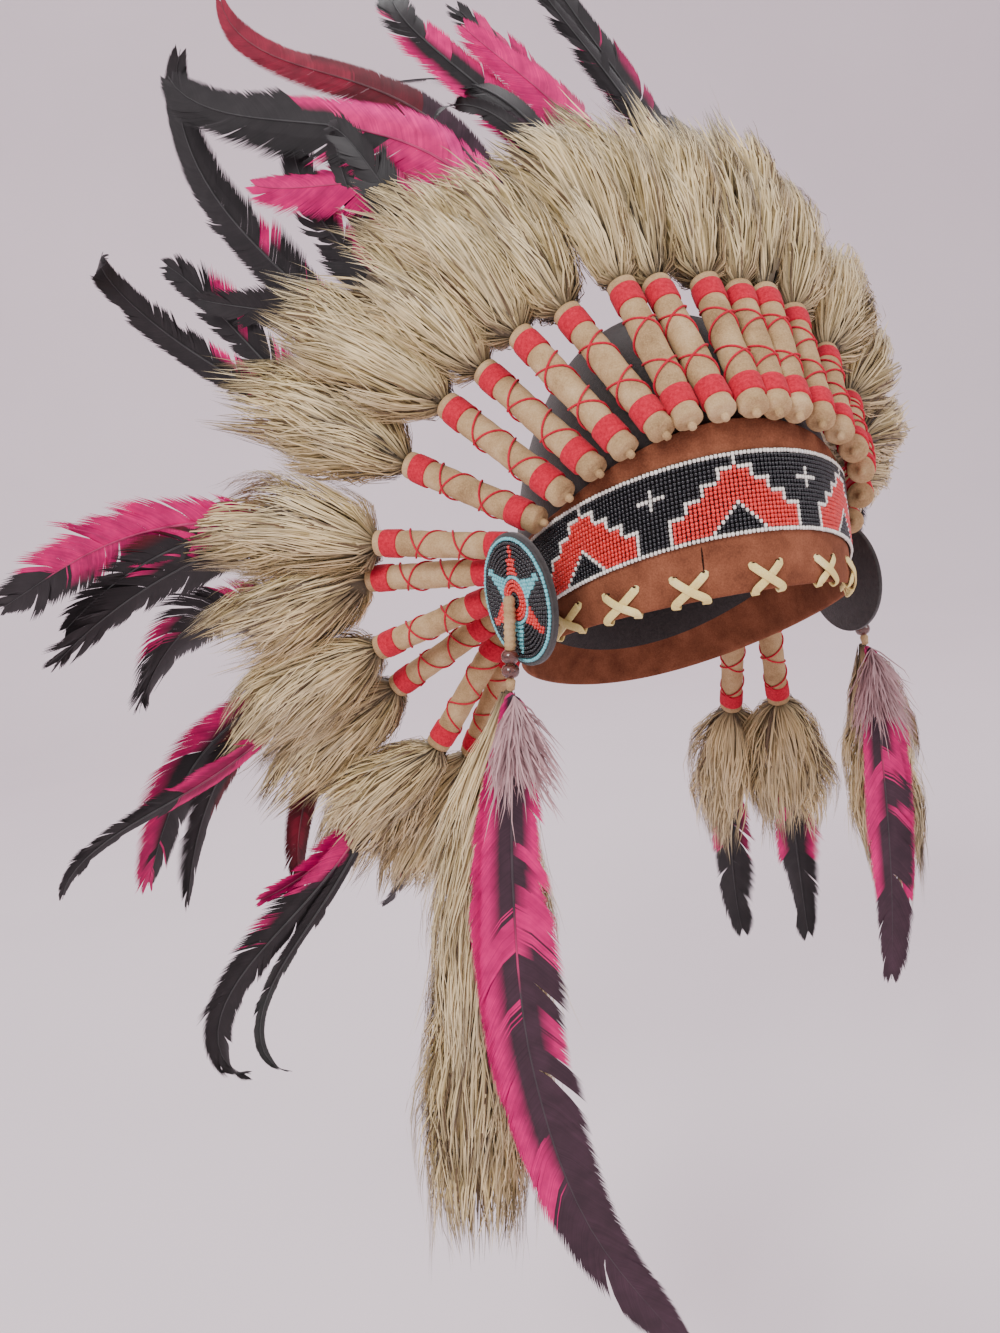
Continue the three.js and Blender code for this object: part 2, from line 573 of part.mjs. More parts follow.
// Two feathers to a drop: over: sideways from the middle, long: against the drop's length.
const DROP_FEATHERS = [
  { over: 0, swing: 46, long: 1, wide: 32 },
  { over: -9, swing: 4, long: 0.78, wide: 15 },
];
for (const row of DROPS) {
  const blades = DROP_FEATHERS.map((one) => {
    const long = FEATHER_DROP * row.feather * one.long;
    const spots = [0, 0.25, 0.5, 0.75, 1].map((t) => {
      const point = dropPoint(row, t * long, 5 + 3 * t);
      point.x += row.out * (one.over * Math.min(1, 4 * t) + (one.swing + long * row.sway) * row.curl * t ** 3);
      return point;
    });
    const curve = new THREE.CatmullRomCurve3(spots);
    return limb(curve, EAST, 4, 6, (t) => Math.max(2, vane(t) * one.wide * Math.sqrt(row.feather) / 2),
      () => BLADE_THICK / 2);
  });
  addPiece(`drop_feathers_${row.name}`, toGeometry(join(blades)), dyedFeather());
}

export default headdress;
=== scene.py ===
import math

import bpy
import numpy as np
from mathutils import Matrix, Vector


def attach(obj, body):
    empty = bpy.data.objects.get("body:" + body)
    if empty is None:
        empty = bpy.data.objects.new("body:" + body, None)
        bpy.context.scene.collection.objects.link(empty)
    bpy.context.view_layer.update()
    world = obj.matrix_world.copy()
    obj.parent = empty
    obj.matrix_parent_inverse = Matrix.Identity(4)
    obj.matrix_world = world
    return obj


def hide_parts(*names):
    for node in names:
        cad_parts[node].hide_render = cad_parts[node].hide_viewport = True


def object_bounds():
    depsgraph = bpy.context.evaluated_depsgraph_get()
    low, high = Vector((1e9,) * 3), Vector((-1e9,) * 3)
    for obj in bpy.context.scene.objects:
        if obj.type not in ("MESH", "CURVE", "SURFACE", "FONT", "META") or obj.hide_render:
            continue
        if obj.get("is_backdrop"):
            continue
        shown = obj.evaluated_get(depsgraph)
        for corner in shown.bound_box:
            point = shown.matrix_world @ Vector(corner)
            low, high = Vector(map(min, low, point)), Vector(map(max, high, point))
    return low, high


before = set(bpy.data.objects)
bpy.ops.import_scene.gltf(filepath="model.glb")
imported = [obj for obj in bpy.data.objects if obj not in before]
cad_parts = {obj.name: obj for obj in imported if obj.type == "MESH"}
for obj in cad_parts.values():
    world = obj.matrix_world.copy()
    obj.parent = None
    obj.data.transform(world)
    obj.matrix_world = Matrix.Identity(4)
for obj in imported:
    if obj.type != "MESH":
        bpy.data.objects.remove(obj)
cad_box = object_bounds()
bpy.ops.object.select_all(action="DESELECT")

# ---- Headband ----------------------------------------------------------------------------
# One band of brown suede round the head, low at the nape and high at the brow, leaning in a
# little as it rises. Its cut edges are worn round by ROUND.
MM = 0.001                       # sizes in this file are in millimetres, meshes in metres
HEAD_WIDE, HEAD_LONG = 80.0, 100.0
EDGE_DROP, EDGE_ARCH = 38.2, 3.0
LEAN_MID, LEAN_SWING = 2.1, 0.8
LEATHER = 2.0
STRIP_LOW, STRIP_FALL, STRIP_HIGH = 24.6, 15.1, 34.4
MARGIN_LOW, MARGIN_BROW = 3.0, 10.0
FOOT_TURN = 1.6
ROUND = 0.5


def edge_height(angle):
    return -EDGE_DROP * (1 - np.cos(angle)) + EDGE_ARCH * (1 - np.cos(2 * angle))


def strip_low(angle):
    return STRIP_LOW - STRIP_FALL * (1 - np.cos(angle))


def band_high(angle):
    brow = np.cos(FOOT_TURN * np.minimum(np.abs(angle), np.pi / FOOT_TURN))
    return strip_low(angle) + STRIP_HIGH + MARGIN_LOW + MARGIN_BROW * np.maximum(0, brow)


def unit(vectors):
    """Vectors at length 1. One without a length stays as it is."""
    return vectors / np.maximum(np.linalg.norm(vectors, axis=-1, keepdims=True), 1e-9)


def outward(angle):
    return unit(np.stack([np.sin(angle) / HEAD_WIDE, -np.cos(angle) / HEAD_LONG, 0 * angle], -1))


def band_point(angle, height, off=0.0):
    """Points of the band's outer face at angles from the brow and heights above its edge."""
    angle, height, off = np.broadcast_arrays(*(np.asarray(v, float) for v in (angle, height, off)))
    lean = np.radians(LEAN_MID + LEAN_SWING * np.cos(2 * angle))
    spots = [HEAD_WIDE * np.sin(angle), -HEAD_LONG * np.cos(angle), edge_height(angle) + height]
    return np.stack(spots, -1) + outward(angle) * (off - height * np.tan(lean))[..., None]


def linear(code):
    """A colour in sRGB hex as the linear values that shaders and attributes take."""
    parts = [int(code[i:i + 2], 16) / 255 for i in (0, 2, 4)]
    return [p / 12.92 if p <= 0.04045 else ((p + 0.055) / 1.055) ** 2.4 for p in parts] + [1.0]


def add_node(tree, kind, inputs=(), stops=(), **settings):
    """Adds a shader node with its settings, its inputs as values or links, and a ramp's stops."""
    made = tree.nodes.new(kind)
    for name, value in settings.items():
        setattr(made, name, value)
    for socket, value in dict(inputs).items():
        if isinstance(value, bpy.types.NodeSocket):
            tree.links.new(value, made.inputs[socket])
        else:
            made.inputs[socket].default_value = value
    for i, (place, code) in enumerate(stops):
        stop = made.color_ramp.elements[i] if i < 2 else made.color_ramp.elements.new(place)
        stop.position = place
        stop.color = linear(code)
    return made


def new_finish(name, roughness, **sockets):
    """A material, its node tree and its shader, with the shader's constants set."""
    made = bpy.data.materials.new(name)
    made.use_nodes = True
    shader = made.node_tree.nodes["Principled BSDF"]
    shader.inputs["Roughness"].default_value = roughness
    for socket, value in sockets.items():
        shader.inputs[socket.replace("_", " ")].default_value = value
    return made, made.node_tree, shader


def suede(name, dark, middle, pale, grain):
    """Brushed hide: cloudy colour some 15 mm across, and a nap of short fibres under 1 mm."""
    made, tree, shader = new_finish(name, 0.92, Specular_IOR_Level=0.2, Sheen_Weight=0.2,
                                    Sheen_Roughness=0.5, Sheen_Tint=linear(pale))
    spot = add_node(tree, "ShaderNodeTexCoord").outputs["Object"]
    clouds = add_node(tree, "ShaderNodeTexNoise", {"Vector": spot, "Scale": 62, "Detail": 5,
                                                   "Roughness": 0.62})
    nap = add_node(tree, "ShaderNodeTexNoise", {"Vector": spot, "Scale": 1400, "Detail": 3})
    both = add_node(tree, "ShaderNodeMix", {"Factor": 0.32, "A": clouds.outputs["Fac"],
                                            "B": nap.outputs["Fac"]})
    shades = add_node(tree, "ShaderNodeValToRGB", {"Fac": both.outputs["Result"]},
                      [(0.34, dark), (0.66, pale), (0.5, middle)])
    tree.links.new(shades.outputs["Color"], shader.inputs["Base Color"])
    bump = add_node(tree, "ShaderNodeBump", {"Height": nap.outputs["Fac"], "Strength": grain,
                                             "Distance": 0.0004})
    tree.links.new(bump.outputs["Normal"], shader.inputs["Normal"])
    return made


def reshape(made, rule):
    """Moves each vertex of a primitive to where the rule puts it, in millimetres."""
    at = np.empty(len(made.data.vertices) * 3, np.float32)
    made.data.vertices.foreach_get("co", at)
    moved = rule(*at.reshape(-1, 3).T.astype(float))
    made.data.vertices.foreach_set("co", (moved * MM).astype(np.float32).ravel())
    made.data.update()


def face_out():
    """Turns the active piece's normals outward."""
    bpy.ops.object.mode_set(mode="EDIT")
    bpy.ops.mesh.select_all(action="SELECT")
    bpy.ops.mesh.normals_make_consistent(inside=False)
    bpy.ops.object.mode_set(mode="OBJECT")


def settle(made, name, material, stands_for=()):
    """Names a piece, gives it its finish, and fixes it to the headdress."""
    made.name = name
    made.data.name = name
    made.data.materials.clear()
    made.data.materials.append(material)
    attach(made, "root")
    if stands_for:
        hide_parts(*stands_for)
    made.select_set(False)
    return made


LEVELS = np.linspace(0.02, 0.98, 15)
outer = [(0.0, h) for h in LEVELS]
inner = [(-LEATHER, h) for h in LEVELS[::-1]]
rim = [(-ROUND, 0.998), (-LEATHER / 2, 1.0), (-LEATHER + ROUND, 0.998)]
hem = [(-LEATHER + ROUND, 0.003), (-LEATHER / 2, 0.0), (-ROUND, 0.003)]
wall = np.array(outer + rim + inner + hem)
bpy.ops.mesh.primitive_torus_add(major_radius=3, minor_radius=1, major_segments=220,
                                 minor_segments=len(wall))
band = bpy.context.object


def band_place(x, y, z):
    """The torus becomes the band's wall: round it is round the head, about it is the section."""
    angle = np.arctan2(y, x)
    turn = np.arctan2(z, np.hypot(x, y) - 3) / (2 * np.pi)
    row = wall[np.rint(turn * len(wall)).astype(int) % len(wall)]
    return band_point(angle, row[:, 1] * band_high(angle), row[:, 0])


reshape(band, band_place)
face_out()
bpy.ops.object.shade_smooth_by_angle(angle=math.radians(50))
brown_suede = suede("brown suede", "5e3423", "7d4a33", "945c42", 0.5)
settle(band, "headband_suede", brown_suede, ["headband"])

# ---- Skull cap ---------------------------------------------------------------------------
# A dome of black felted wool under the fan, with its rim tucked inside the band. It is pressed
# from one piece, so it has no seams, only a matted surface.
CAP_TOP, CAP_TUCK, CAP_EASE, FELT = 121.0, 12.0, 1.2, 2.0
bpy.ops.mesh.primitive_uv_sphere_add(segments=96, ring_count=68, radius=1)
cap = bpy.context.object


def cap_place(x, y, z):
    """The sphere's upper half becomes the outer face and its lower half the inner face."""
    angle = np.arctan2(x, -y)
    inside = z < -1e-6
    rise, reach = np.abs(z), np.hypot(x, y)
    edge = band_point(angle, band_high(angle) - CAP_TUCK, -LEATHER - CAP_EASE - np.where(inside, FELT, 0))
    dent = 0.5 * np.sin(5 * angle + 2) * np.sin(3 * rise + 1) * reach
    top = CAP_TOP - np.where(inside, FELT, 0) - dent
    return np.column_stack([edge[:, :2] * reach[:, None], edge[:, 2] + (top - edge[:, 2]) * rise])


reshape(cap, cap_place)
face_out()
bpy.ops.object.shade_smooth_by_angle(angle=math.radians(60))


def grained(name, roughness, noise, stops, bump=(), **sockets):
    """A finish of noise between two colours, raised by bump's strength and depth if given."""
    made, tree, shader = new_finish(name, roughness, **sockets)
    spot = add_node(tree, "ShaderNodeTexCoord").outputs["Object"]
    grain = add_node(tree, "ShaderNodeTexNoise", {"Vector": spot, **noise}).outputs["Fac"]
    tone = add_node(tree, "ShaderNodeValToRGB", {"Fac": grain}, stops)
    tree.links.new(tone.outputs["Color"], shader.inputs["Base Color"])
    if bump:
        strength, depth = bump
        relief = add_node(tree, "ShaderNodeBump", {"Height": grain, "Strength": strength,
                                                   "Distance": depth})
        tree.links.new(relief.outputs["Normal"], shader.inputs["Normal"])
    return made


# Wool fibres matted in all directions, so the noise is fine and twisted.
felt = grained("black wool felt", 1.0, {"Scale": 260, "Detail": 8, "Roughness": 0.75, "Distortion": 1.5},
               [(0.3, "1b1817"), (0.7, "3a3432")], (0.6, 0.0006),
               Specular_IOR_Level=0.15, Sheen_Weight=0.3, Sheen_Roughness=0.6)
settle(cap, "skull_cap_felt", felt, ["skull_cap"])

# ---- Beaded strip ------------------------------------------------------------------------
# Opaque glass seed beads woven on a loom and sewn to the brow: black ground, white edges, red
# stepped hills outlined in white, and small white crosses. Each bead is one glass barrel.
STRIP_FROM, STRIP_TO = math.radians(-80), math.radians(96)
BEAD_ROWS = 19
PITCH = STRIP_HIGH / BEAD_ROWS
PERIOD = 40                      # columns from one hill to the next
HILL_STEPS = [(6, 16), (9, 12), (12, 8), (15, 4)]   # up to this row, this half width
HOLLOW_ROWS = 7
CROSS_ROW, CROSS_WIDE, CROSS_HIGH = 12, 3, 2
BEAD_COLOURS = {"black": "17181d", "white": "f4f0e6", "red": "dc3431", "turquoise": "74c4cb"}


def bead_form(wide, long):
    """One seed bead as arrays: a barrel with rounded ends, its hole along Z."""
    bpy.ops.mesh.primitive_cylinder_add(vertices=8, radius=0.36 * wide, depth=long)
    bpy.ops.object.mode_set(mode="EDIT")
    bpy.ops.mesh.select_all(action="SELECT")
    bpy.ops.mesh.bisect(plane_co=(0, 0, 0), plane_no=(0, 0, 1))
    bpy.ops.transform.resize(value=(wide / 2 / (0.36 * wide),) * 2 + (1,))
    bpy.ops.mesh.select_all(action="SELECT")
    bpy.ops.mesh.quads_convert_to_tris()
    bpy.ops.object.mode_set(mode="OBJECT")
    made = bpy.context.object
    points = np.array([v.co for v in made.data.vertices])
    faces = np.array([p.vertices for p in made.data.polygons])
    bpy.data.objects.remove(made)
    return points, faces


def copies(form, spots, axes):
    """Copies of a form at spots. axes holds, for each copy, where X, Y and Z point."""
    points, faces = form
    placed = np.einsum("pk,nkd->npd", points, axes) + spots[:, None]
    shifted = faces[None] + (np.arange(len(spots)) * len(points))[:, None, None]
    return placed.reshape(-1, 3), shifted.reshape(-1, faces.shape[1])


def build(points, faces, tint=None):
    """An object from arrays: points in millimetres, faces, and a colour for each point."""
    mesh = bpy.data.meshes.new("made")
    mesh.vertices.add(len(points))
    mesh.vertices.foreach_set("co", (points * MM).astype(np.float32).ravel())
    mesh.loops.add(faces.size)
    mesh.loops.foreach_set("vertex_index", faces.astype(np.int32).ravel())
    mesh.polygons.add(len(faces))
    mesh.polygons.foreach_set("loop_start", np.arange(0, faces.size, faces.shape[1], dtype=np.int32))
    mesh.polygons.foreach_set("use_smooth", np.ones(len(faces), bool))
    if tint is not None:
        layer = mesh.color_attributes.new(name="tint", type="FLOAT_COLOR", domain="POINT")
        layer.data.foreach_set("color", tint.astype(np.float32).ravel())
    mesh.update(calc_edges=True)
    made = bpy.data.objects.new("made", mesh)
    bpy.context.scene.collection.objects.link(made)
    return made


def hill_half(row):
    return next((half for top, half in HILL_STEPS if row <= top), 0)


def strip_colour(column, row):
    """The chart of the strip. Columns count from the middle of the brow, rows from the edge."""
    if row in (0, BEAD_ROWS - 1):
        return "white"
    place = abs((column + PERIOD // 2) % PERIOD - PERIOD // 2)
    half, above, hollow = hill_half(row), hill_half(row + 1), HOLLOW_ROWS - row
    if hollow <= place <= half:
        return "white" if place in (half, hollow) or place > above else "red"
    between = PERIOD // 2 - place
    level = row == CROSS_ROW and between <= CROSS_WIDE
    return "white" if level or (between == 0 and abs(row - CROSS_ROW) <= CROSS_HIGH) else "black"


fine = np.linspace(STRIP_FROM, STRIP_TO, 800)
steps = np.linalg.norm(np.diff(band_point(fine, strip_low(fine)), axis=0), axis=1)
travel = np.concatenate([[0], np.cumsum(steps)])
middle = np.interp(0, fine, travel)
columns = np.arange(-int(middle / PITCH), int((travel[-1] - middle) / PITCH) + 1)
column, row = (g.ravel() for g in np.meshgrid(columns, np.arange(BEAD_ROWS)))
angle = np.interp(middle + column * PITCH, travel, fine)
rng = np.random.default_rng(7)
spots = band_point(angle, strip_low(angle) + (row + 0.5) * PITCH, 1.15) + rng.normal(0, 0.05, (len(angle), 3))
upright = unit(band_point(angle, 40) - band_point(angle, 0) + rng.normal(0, 1.6, (len(angle), 3)))
out = outward(angle)
axes = np.stack([unit(np.cross(upright, out)), out, upright], 1)
axes *= rng.normal(1, 0.035, (len(angle), 1, 1))
loom_bead = bead_form(1.72, 1.66)
points, faces = copies(loom_bead, spots, axes)
glass = {name: np.array(linear(code)) for name, code in BEAD_COLOURS.items()}
colours = np.array([glass[strip_colour(c, r)] for c, r in zip(column, row)])
colours[:, :3] *= rng.normal(1, 0.07, (len(colours), 1))
bead_glass, tree, shader = new_finish("opaque seed bead glass", 0.22, IOR=1.5, Coat_Weight=0.3,
                                      Coat_Roughness=0.08)
tint = add_node(tree, "ShaderNodeAttribute", attribute_name="tint")
tree.links.new(tint.outputs["Color"], shader.inputs["Base Color"])
strip = build(points, faces, np.repeat(colours, len(loom_bead[0]), 0).clip(0, 1))
settle(strip, "beaded_strip_beads", bead_glass, ["beaded_strip"])

# The strip's threads: a dark woven backing that shows as lines between the beads.
bpy.ops.mesh.primitive_grid_add(x_subdivisions=150, y_subdivisions=4, size=1)
backing = bpy.context.object


def backing_place(x, y, z):
    angle = STRIP_FROM + (x + 0.5) * (STRIP_TO - STRIP_FROM)
    return band_point(angle, strip_low(angle) + (y + 0.5) * STRIP_HIGH, 0.8)


reshape(backing, backing_place)
solidify = backing.modifiers.new("cloth thickness", "SOLIDIFY")
solidify.thickness = 0.5 * MM
bpy.ops.object.modifier_apply(modifier=solidify.name)
thread_cloth = grained("beading thread cloth", 0.9, {"Scale": 900, "Detail": 2},
                       [(0.4, "0e0d0d"), (0.6, "252120")], Specular_IOR_Level=0.2)
settle(backing, "beaded_strip_backing", thread_cloth)

# ---- Brow lacing -------------------------------------------------------------------------
# A pale buckskin lace, run along the inside of the lower edge and crossed over it in X
# stitches. Each end of an X goes through a slit, and the last turns whip over the edge.
STITCHES = [-58, -38, -17, 7, 32, 55]
STITCH_HALF, STITCH_TOP = 7.6, 10.5
LACE_WIDE, LACE_THICK = 3.6, 0.9
WHIPS = [60.5, 64, 67.5, 71]
EDGE_TURN = 1.4                  # the lace clears the edge that it turns round
SECTION = [(-1, -0.4), (-0.8, -1), (0.8, -1), (1, -0.4), (1, 0.4), (0.8, 1), (-0.8, 1), (-1, 0.4)]


def smooth_line(spots, count):
    """A smooth line of count points through spots, evenly shared among the stretches."""
    spots = np.asarray(spots, float)
    ends = np.vstack([2 * spots[0] - spots[1], spots, 2 * spots[-1] - spots[-2]])
    t = np.linspace(0, len(spots) - 1, count)
    k = np.minimum(t.astype(int), len(spots) - 2)
    f = (t - k)[:, None]
    a, b, c, d = (ends[k + j] for j in range(4))
    return b + 0.5 * f * (c - a + f * (2 * a - 5 * b + 4 * c - d + f * (3 * (b - c) + d - a)))


def tube_from(rings):
    """Triangles of a tube through rings of points, closed at both ends, normals outward."""
    n, sides = rings.shape[:2]
    i, j = np.meshgrid(np.arange(n - 1), np.arange(sides), indexing="ij")
    a, b = (i * sides + j).ravel(), (i * sides + (j + 1) % sides).ravel()
    fan = np.array([(0, k + 1, k) for k in range(1, sides - 1)])
    faces = np.vstack([np.column_stack([a, b, b + sides]), np.column_stack([a, b + sides, a + sides]),
                       fan, fan[:, ::-1] + (n - 1) * sides])
    points = rings.reshape(-1, 3)
    p, q, r = ((points - points.mean(0))[faces[:, k]] for k in range(3))
    return points, faces if (p * np.cross(q, r)).sum() > 0 else faces[:, ::-1]


def gather(parts):
    """Several point and face arrays as one."""
    shifts = np.cumsum([0] + [len(p) for p, _ in parts[:-1]])
    return np.vstack([p for p, _ in parts]), np.vstack([f + s for (_, f), s in zip(parts, shifts)])


def lace(path, normals, wide):
    """A flat lace with rounded edges along a path, closed at both ends."""
    path = smooth_line(path, 5 * (len(path) - 1) + 1)
    normals = unit(smooth_line(normals, len(path)))
    ahead = unit(np.gradient(path, axis=0))
    across = unit(np.cross(ahead, normals))
    face = np.cross(across, ahead)
    rings = [path + across * (x * wide / 2) + face * (y * LACE_THICK / 2) for x, y in SECTION]
    return tube_from(np.stack(rings, 1))


parts = []
DOWN = np.array([0, 0, -1.0])
for middle_angle in np.radians(STITCHES):
    half = STITCH_HALF / np.linalg.norm(band_point(middle_angle, 0)[:2])
    for turn, lift in ((1, 0.5), (-1, 1.5)):
        a, b = middle_angle - turn * half, middle_angle + turn * half
        stops = [(a, 2.0, -LEATHER - 1.2), (a, -EDGE_TURN, -LEATHER / 2), (a, 0.8, 0.8),
                 (middle_angle, STITCH_TOP / 2, 0.5 + lift), (b, STITCH_TOP, 0.6),
                 (b, STITCH_TOP + 0.9, -1.0)]
        faces_out = [-outward(a), DOWN, outward(a), outward(middle_angle), outward(b), outward(b)]
        parts.append(lace([band_point(*s) for s in stops], faces_out, LACE_WIDE))
for whip in np.radians(WHIPS):
    stops = [(whip + 0.04, 5, -LEATHER - 0.9), (whip + 0.03, -EDGE_TURN, -LEATHER / 2), (whip, 1.0, 0.8),
             (whip - 0.02, 5.0, 0.8), (whip - 0.03, 7.0, -1.0)]
    faces_out = [-outward(whip), DOWN, outward(whip), outward(whip), outward(whip)]
    parts.append(lace([band_point(*s) for s in stops], faces_out, LACE_WIDE * 0.8))
run = np.linspace(math.radians(STITCHES[0]) - 0.12, math.radians(WHIPS[-1]) + 0.05, 40)
parts.append(lace(band_point(run, 2.7, -LEATHER - 1.4), outward(run), LACE_WIDE * 0.8))
buckskin = suede("pale buckskin", "d9bd78", "ecd68c", "f6e6ae", 0.3)
settle(build(*gather(parts)), "brow_lace", buckskin, ["brow_lacing"])

# Slits that the lace goes into, and the dart beside the brow: thin near-black patches on the suede. At the
# slits they are painted shade, standing for the dark inside of the openings; at the dart the dark line is its
# seam.
slits = []
openings = [(m + side * 4.6, STITCH_TOP + 1.3, 2.3, 0.6) for m in STITCHES for side in (-1, 1)]
openings.append((-12.4, 17.0, 0.5, 5.5))
for place, height, wide, high in openings:
    rim_turn = np.linspace(0, 2 * np.pi, 12, endpoint=False)
    arc = math.radians(place) + wide * np.cos(rim_turn) / HEAD_LONG
    slits.append(tube_from(np.stack([band_point(arc, height + high * np.sin(rim_turn), off)
                                     for off in (-0.3, 0.1)])))
# Painted shade: the slit patches are near-black to stand for the shade inside the openings, and the dart's
# line is its dark seam.
slit_shade_and_seam = grained("painted slit shade and dart seam", 0.95, {"Scale": 1500}, [(0.35, "1c100b"), (0.65, "3a2218")],
                    Specular_IOR_Level=0.1)
settle(build(*gather(slits)), "headband_slits", slit_shade_and_seam)

# ---- Tubes -------------------------------------------------------------------------------
# Each quill bundle is rolled in tan suede. The roll ends in a twisted stub at the band and in a
# lip round the fur, and red cloth tape and crossed red thread bind it.
TUBE_LONG, TUBE_R, TUBE_OUT = 76.0, 6.0, 9.3
FOOT_MID, FOOT_SWING = 1.0, 15.0
BANDS = [(6.5, 16.0), (63.0, 72.5)]
THREAD_R, THREAD_PITCH = 0.5, 23.0
TAPE_TURN, TAPE_EDGE = 0.56, 0.9  # one turn of tape, and its folded edge
TUBES = [                        # place on the band, heading out and up, then the tuft's lie
    (-126, -47, -58, -3, 11, 22, 349), (-114, -60, -52, 0, 23, 30, 321), (-102, -50, -28, -1, 2, 18, 251),
    (-90, -52, -18, 0, 0, 21, 255), (-78, -51, 0, 1, -16, 2, 183), (-68, -51, 5, 3, 13, 23, 265),
    (-58, -42, 23, 4, 10, 26, 258), (-48, -37, 35, 0, 0, 17, 251), (-38, -32, 38, 6, 10, 34, 248),
    (-29, -31, 44, 7, 9, 30, 253), (-19, -24, 45, 6, 7, 24, 238), (-12, -10, 51, 5, 4, 33, 236),
    (-3, -7, 48, 7, 4, 18, 230), (6, 3, 46, 3, 1, 7, 233), (13, 9, 43, 2, 1, 5, 186),
    (20, 12, 43, 4, 0, 11, 250), (29, 15, 38, 8, 1, 19, 217), (38, 21, 26, 8, 1, 12, 250),
    (48, 24, 14, 6, 1, 12, 260), (58, 25, 6, 4, 0, 12, 260), (70, 22, 2, 3, 0, 14, 265),
    (82, 12, 4, 2, 0, 16, 265), (128, 24, -62, 0, 0, 8, 265), (140, 8, -60, 0, 0, 8, 265),
]
places, outs, ups = (np.radians([row[k] for row in TUBES]) for k in range(3))
headings = np.stack([np.sin(outs) * np.cos(ups), np.cos(outs) * np.cos(ups), np.sin(ups)], -1)
feet = band_point(places, strip_low(places) + STRIP_HIGH + FOOT_MID
                  + FOOT_SWING * np.cos(FOOT_TURN * places), TUBE_OUT)
tube_tips = feet + headings * TUBE_LONG
ROLL = [(0.7, -3.8), (1.5, -3.2), (1.8, -1.6), (1.6, -0.4), (4.4, -0.2), (5.6, 0.5), (6.0, 1.8), (5.6, 5.5)]
ROLL += [(5.7, 17), (6.0, 18.5)] + [(6.0 + 0.1 * math.sin(y), y) for y in range(20, 62, 4)]
ROLL += [(5.7, 62), (5.7, 73), (6.15, 74.2), (6.0, 76.0), (5.0, 76.2), (4.6, 75.0), (0.6, 74.6)]


def tube_axes(k):
    """Two directions across tube k: away from the head, and along the fan."""
    away = unit(outward(places[k]) - headings[k] * (outward(places[k]) @ headings[k]))
    return away, np.cross(headings[k], away)


def turned(k, profile, sides, swell):
    """A form turned about tube k's axis from radius and distance along it."""
    away, beside = tube_axes(k)
    turn = np.linspace(0, 2 * np.pi, sides, endpoint=False)
    ring = np.cos(turn)[:, None] * away + np.sin(turn)[:, None] * beside
    rings = [feet[k] + headings[k] * y
             + ring * (radius + swell(turn, y) * min(1, radius / TUBE_R))[:, None] for radius, y in profile]
    return tube_from(np.stack(rings))


rolls, bindings = [], []
rng = np.random.default_rng(11)
for k in range(len(TUBES)):
    seam, wave = rng.uniform(2, 4.4), rng.uniform(0, 6, 3)

    def swell(turn, y):
        """The overlap of the roll, and hand-made unevenness."""
        lap = 0.55 * (1 - np.mod(turn - seam, 2 * np.pi) / (2 * np.pi))
        return lap + 0.14 * np.sin(2 * turn + wave[0] + y / 9) + 0.1 * np.sin(3 * turn + wave[1] - y / 5)
    rolls.append(turned(k, ROLL, 32, swell))
    for low, high in BANDS:
        wraps = int((high - low - 1.6) / TAPE_TURN)
        tape = [(5.2, low), (6.3, low + 0.1), (6.5, low + 0.5)]
        tape += [(6.5 + 0.09 * math.cos(math.pi * j), low + TAPE_EDGE + TAPE_TURN * j) for j in range(wraps)]
        tape += [(6.5, high - 0.5), (6.3, high - 0.1), (5.2, high)]
        bindings.append(turned(k, tape, 24, swell))
    away, beside = tube_axes(k)
    start = rng.uniform(-0.5, 0.5)
    for way in (1, -1):
        y = np.linspace(BANDS[0][1] - 1, BANDS[1][0] + 1, 64)
        turn = way * (2 * np.pi * (y - 28) / THREAD_PITCH) + start + rng.normal(0, 0.12)
        r = TUBE_R + 0.35 + 0.2 * (way > 0) + swell(turn, y)
        line = feet[k] + y[:, None] * headings[k] + (r * np.cos(turn))[:, None] * away
        line = line + (r * np.sin(turn))[:, None] * beside
        ahead = unit(np.gradient(line, axis=0))
        side = unit(np.cross(ahead, headings[k]))
        over = np.cross(ahead, side)
        spin = np.linspace(0, 2 * np.pi, 5, endpoint=False)
        rings = [line + THREAD_R * (np.cos(s) * side + np.sin(s) * over) for s in spin]
        bindings.append(tube_from(np.stack(rings, 1)))
tan_suede = suede("tan suede", "8f7250", "b4956c", "ccb088", 0.45)
settle(build(*gather(rolls)), "tube_rolls", tan_suede,
       [f"tube_{k + 1:02d}" for k in range(len(TUBES))])

red_cotton = grained("red cotton", 0.85, {"Scale": 700, "Detail": 4, "Roughness": 0.7},
                     [(0.3, "ac0e28"), (0.7, "d92a42")], (0.4, 0.0003),
                     Specular_IOR_Level=0.2, Sheen_Weight=0.05, Sheen_Roughness=0.5)
settle(build(*gather(bindings)), "tube_bindings", red_cotton)

# ---- Fur tufts ---------------------------------------------------------------------------
# A strip of long fur wound round the quills above each tube: cream and khaki guard hairs, grey
# at the root, many with a black-brown tip. Hairs gather in pointed locks and lie along the tuft.
TUFT_LONG, NECK, COLLAR = 104.0, 7.0, 4.6
TUFT_WIDE, TUFT_DEEP = 29.0, 23.0
HAIRS, LOCKS = 1700, 60
ROOTED, HAIR_LONG = 0.62, 52      # the share of a tuft that carries roots, and its hairs
STRAY_SHARE, GATHER = 0.05, 0.62  # hairs out of place, and how far a lock closes up
HAIR_POINTS = np.array([0, 0.22, 0.48, 0.76, 1.0])
FUR = {name: np.array(linear(code)[:3]) for name, code in (
    ("root", "6b5b42"), ("khaki", "a08b5c"), ("cream", "dcc593"), ("pale", "f6e8c4"),
    ("brown", "5c452c"), ("dark", "2a211a"))}


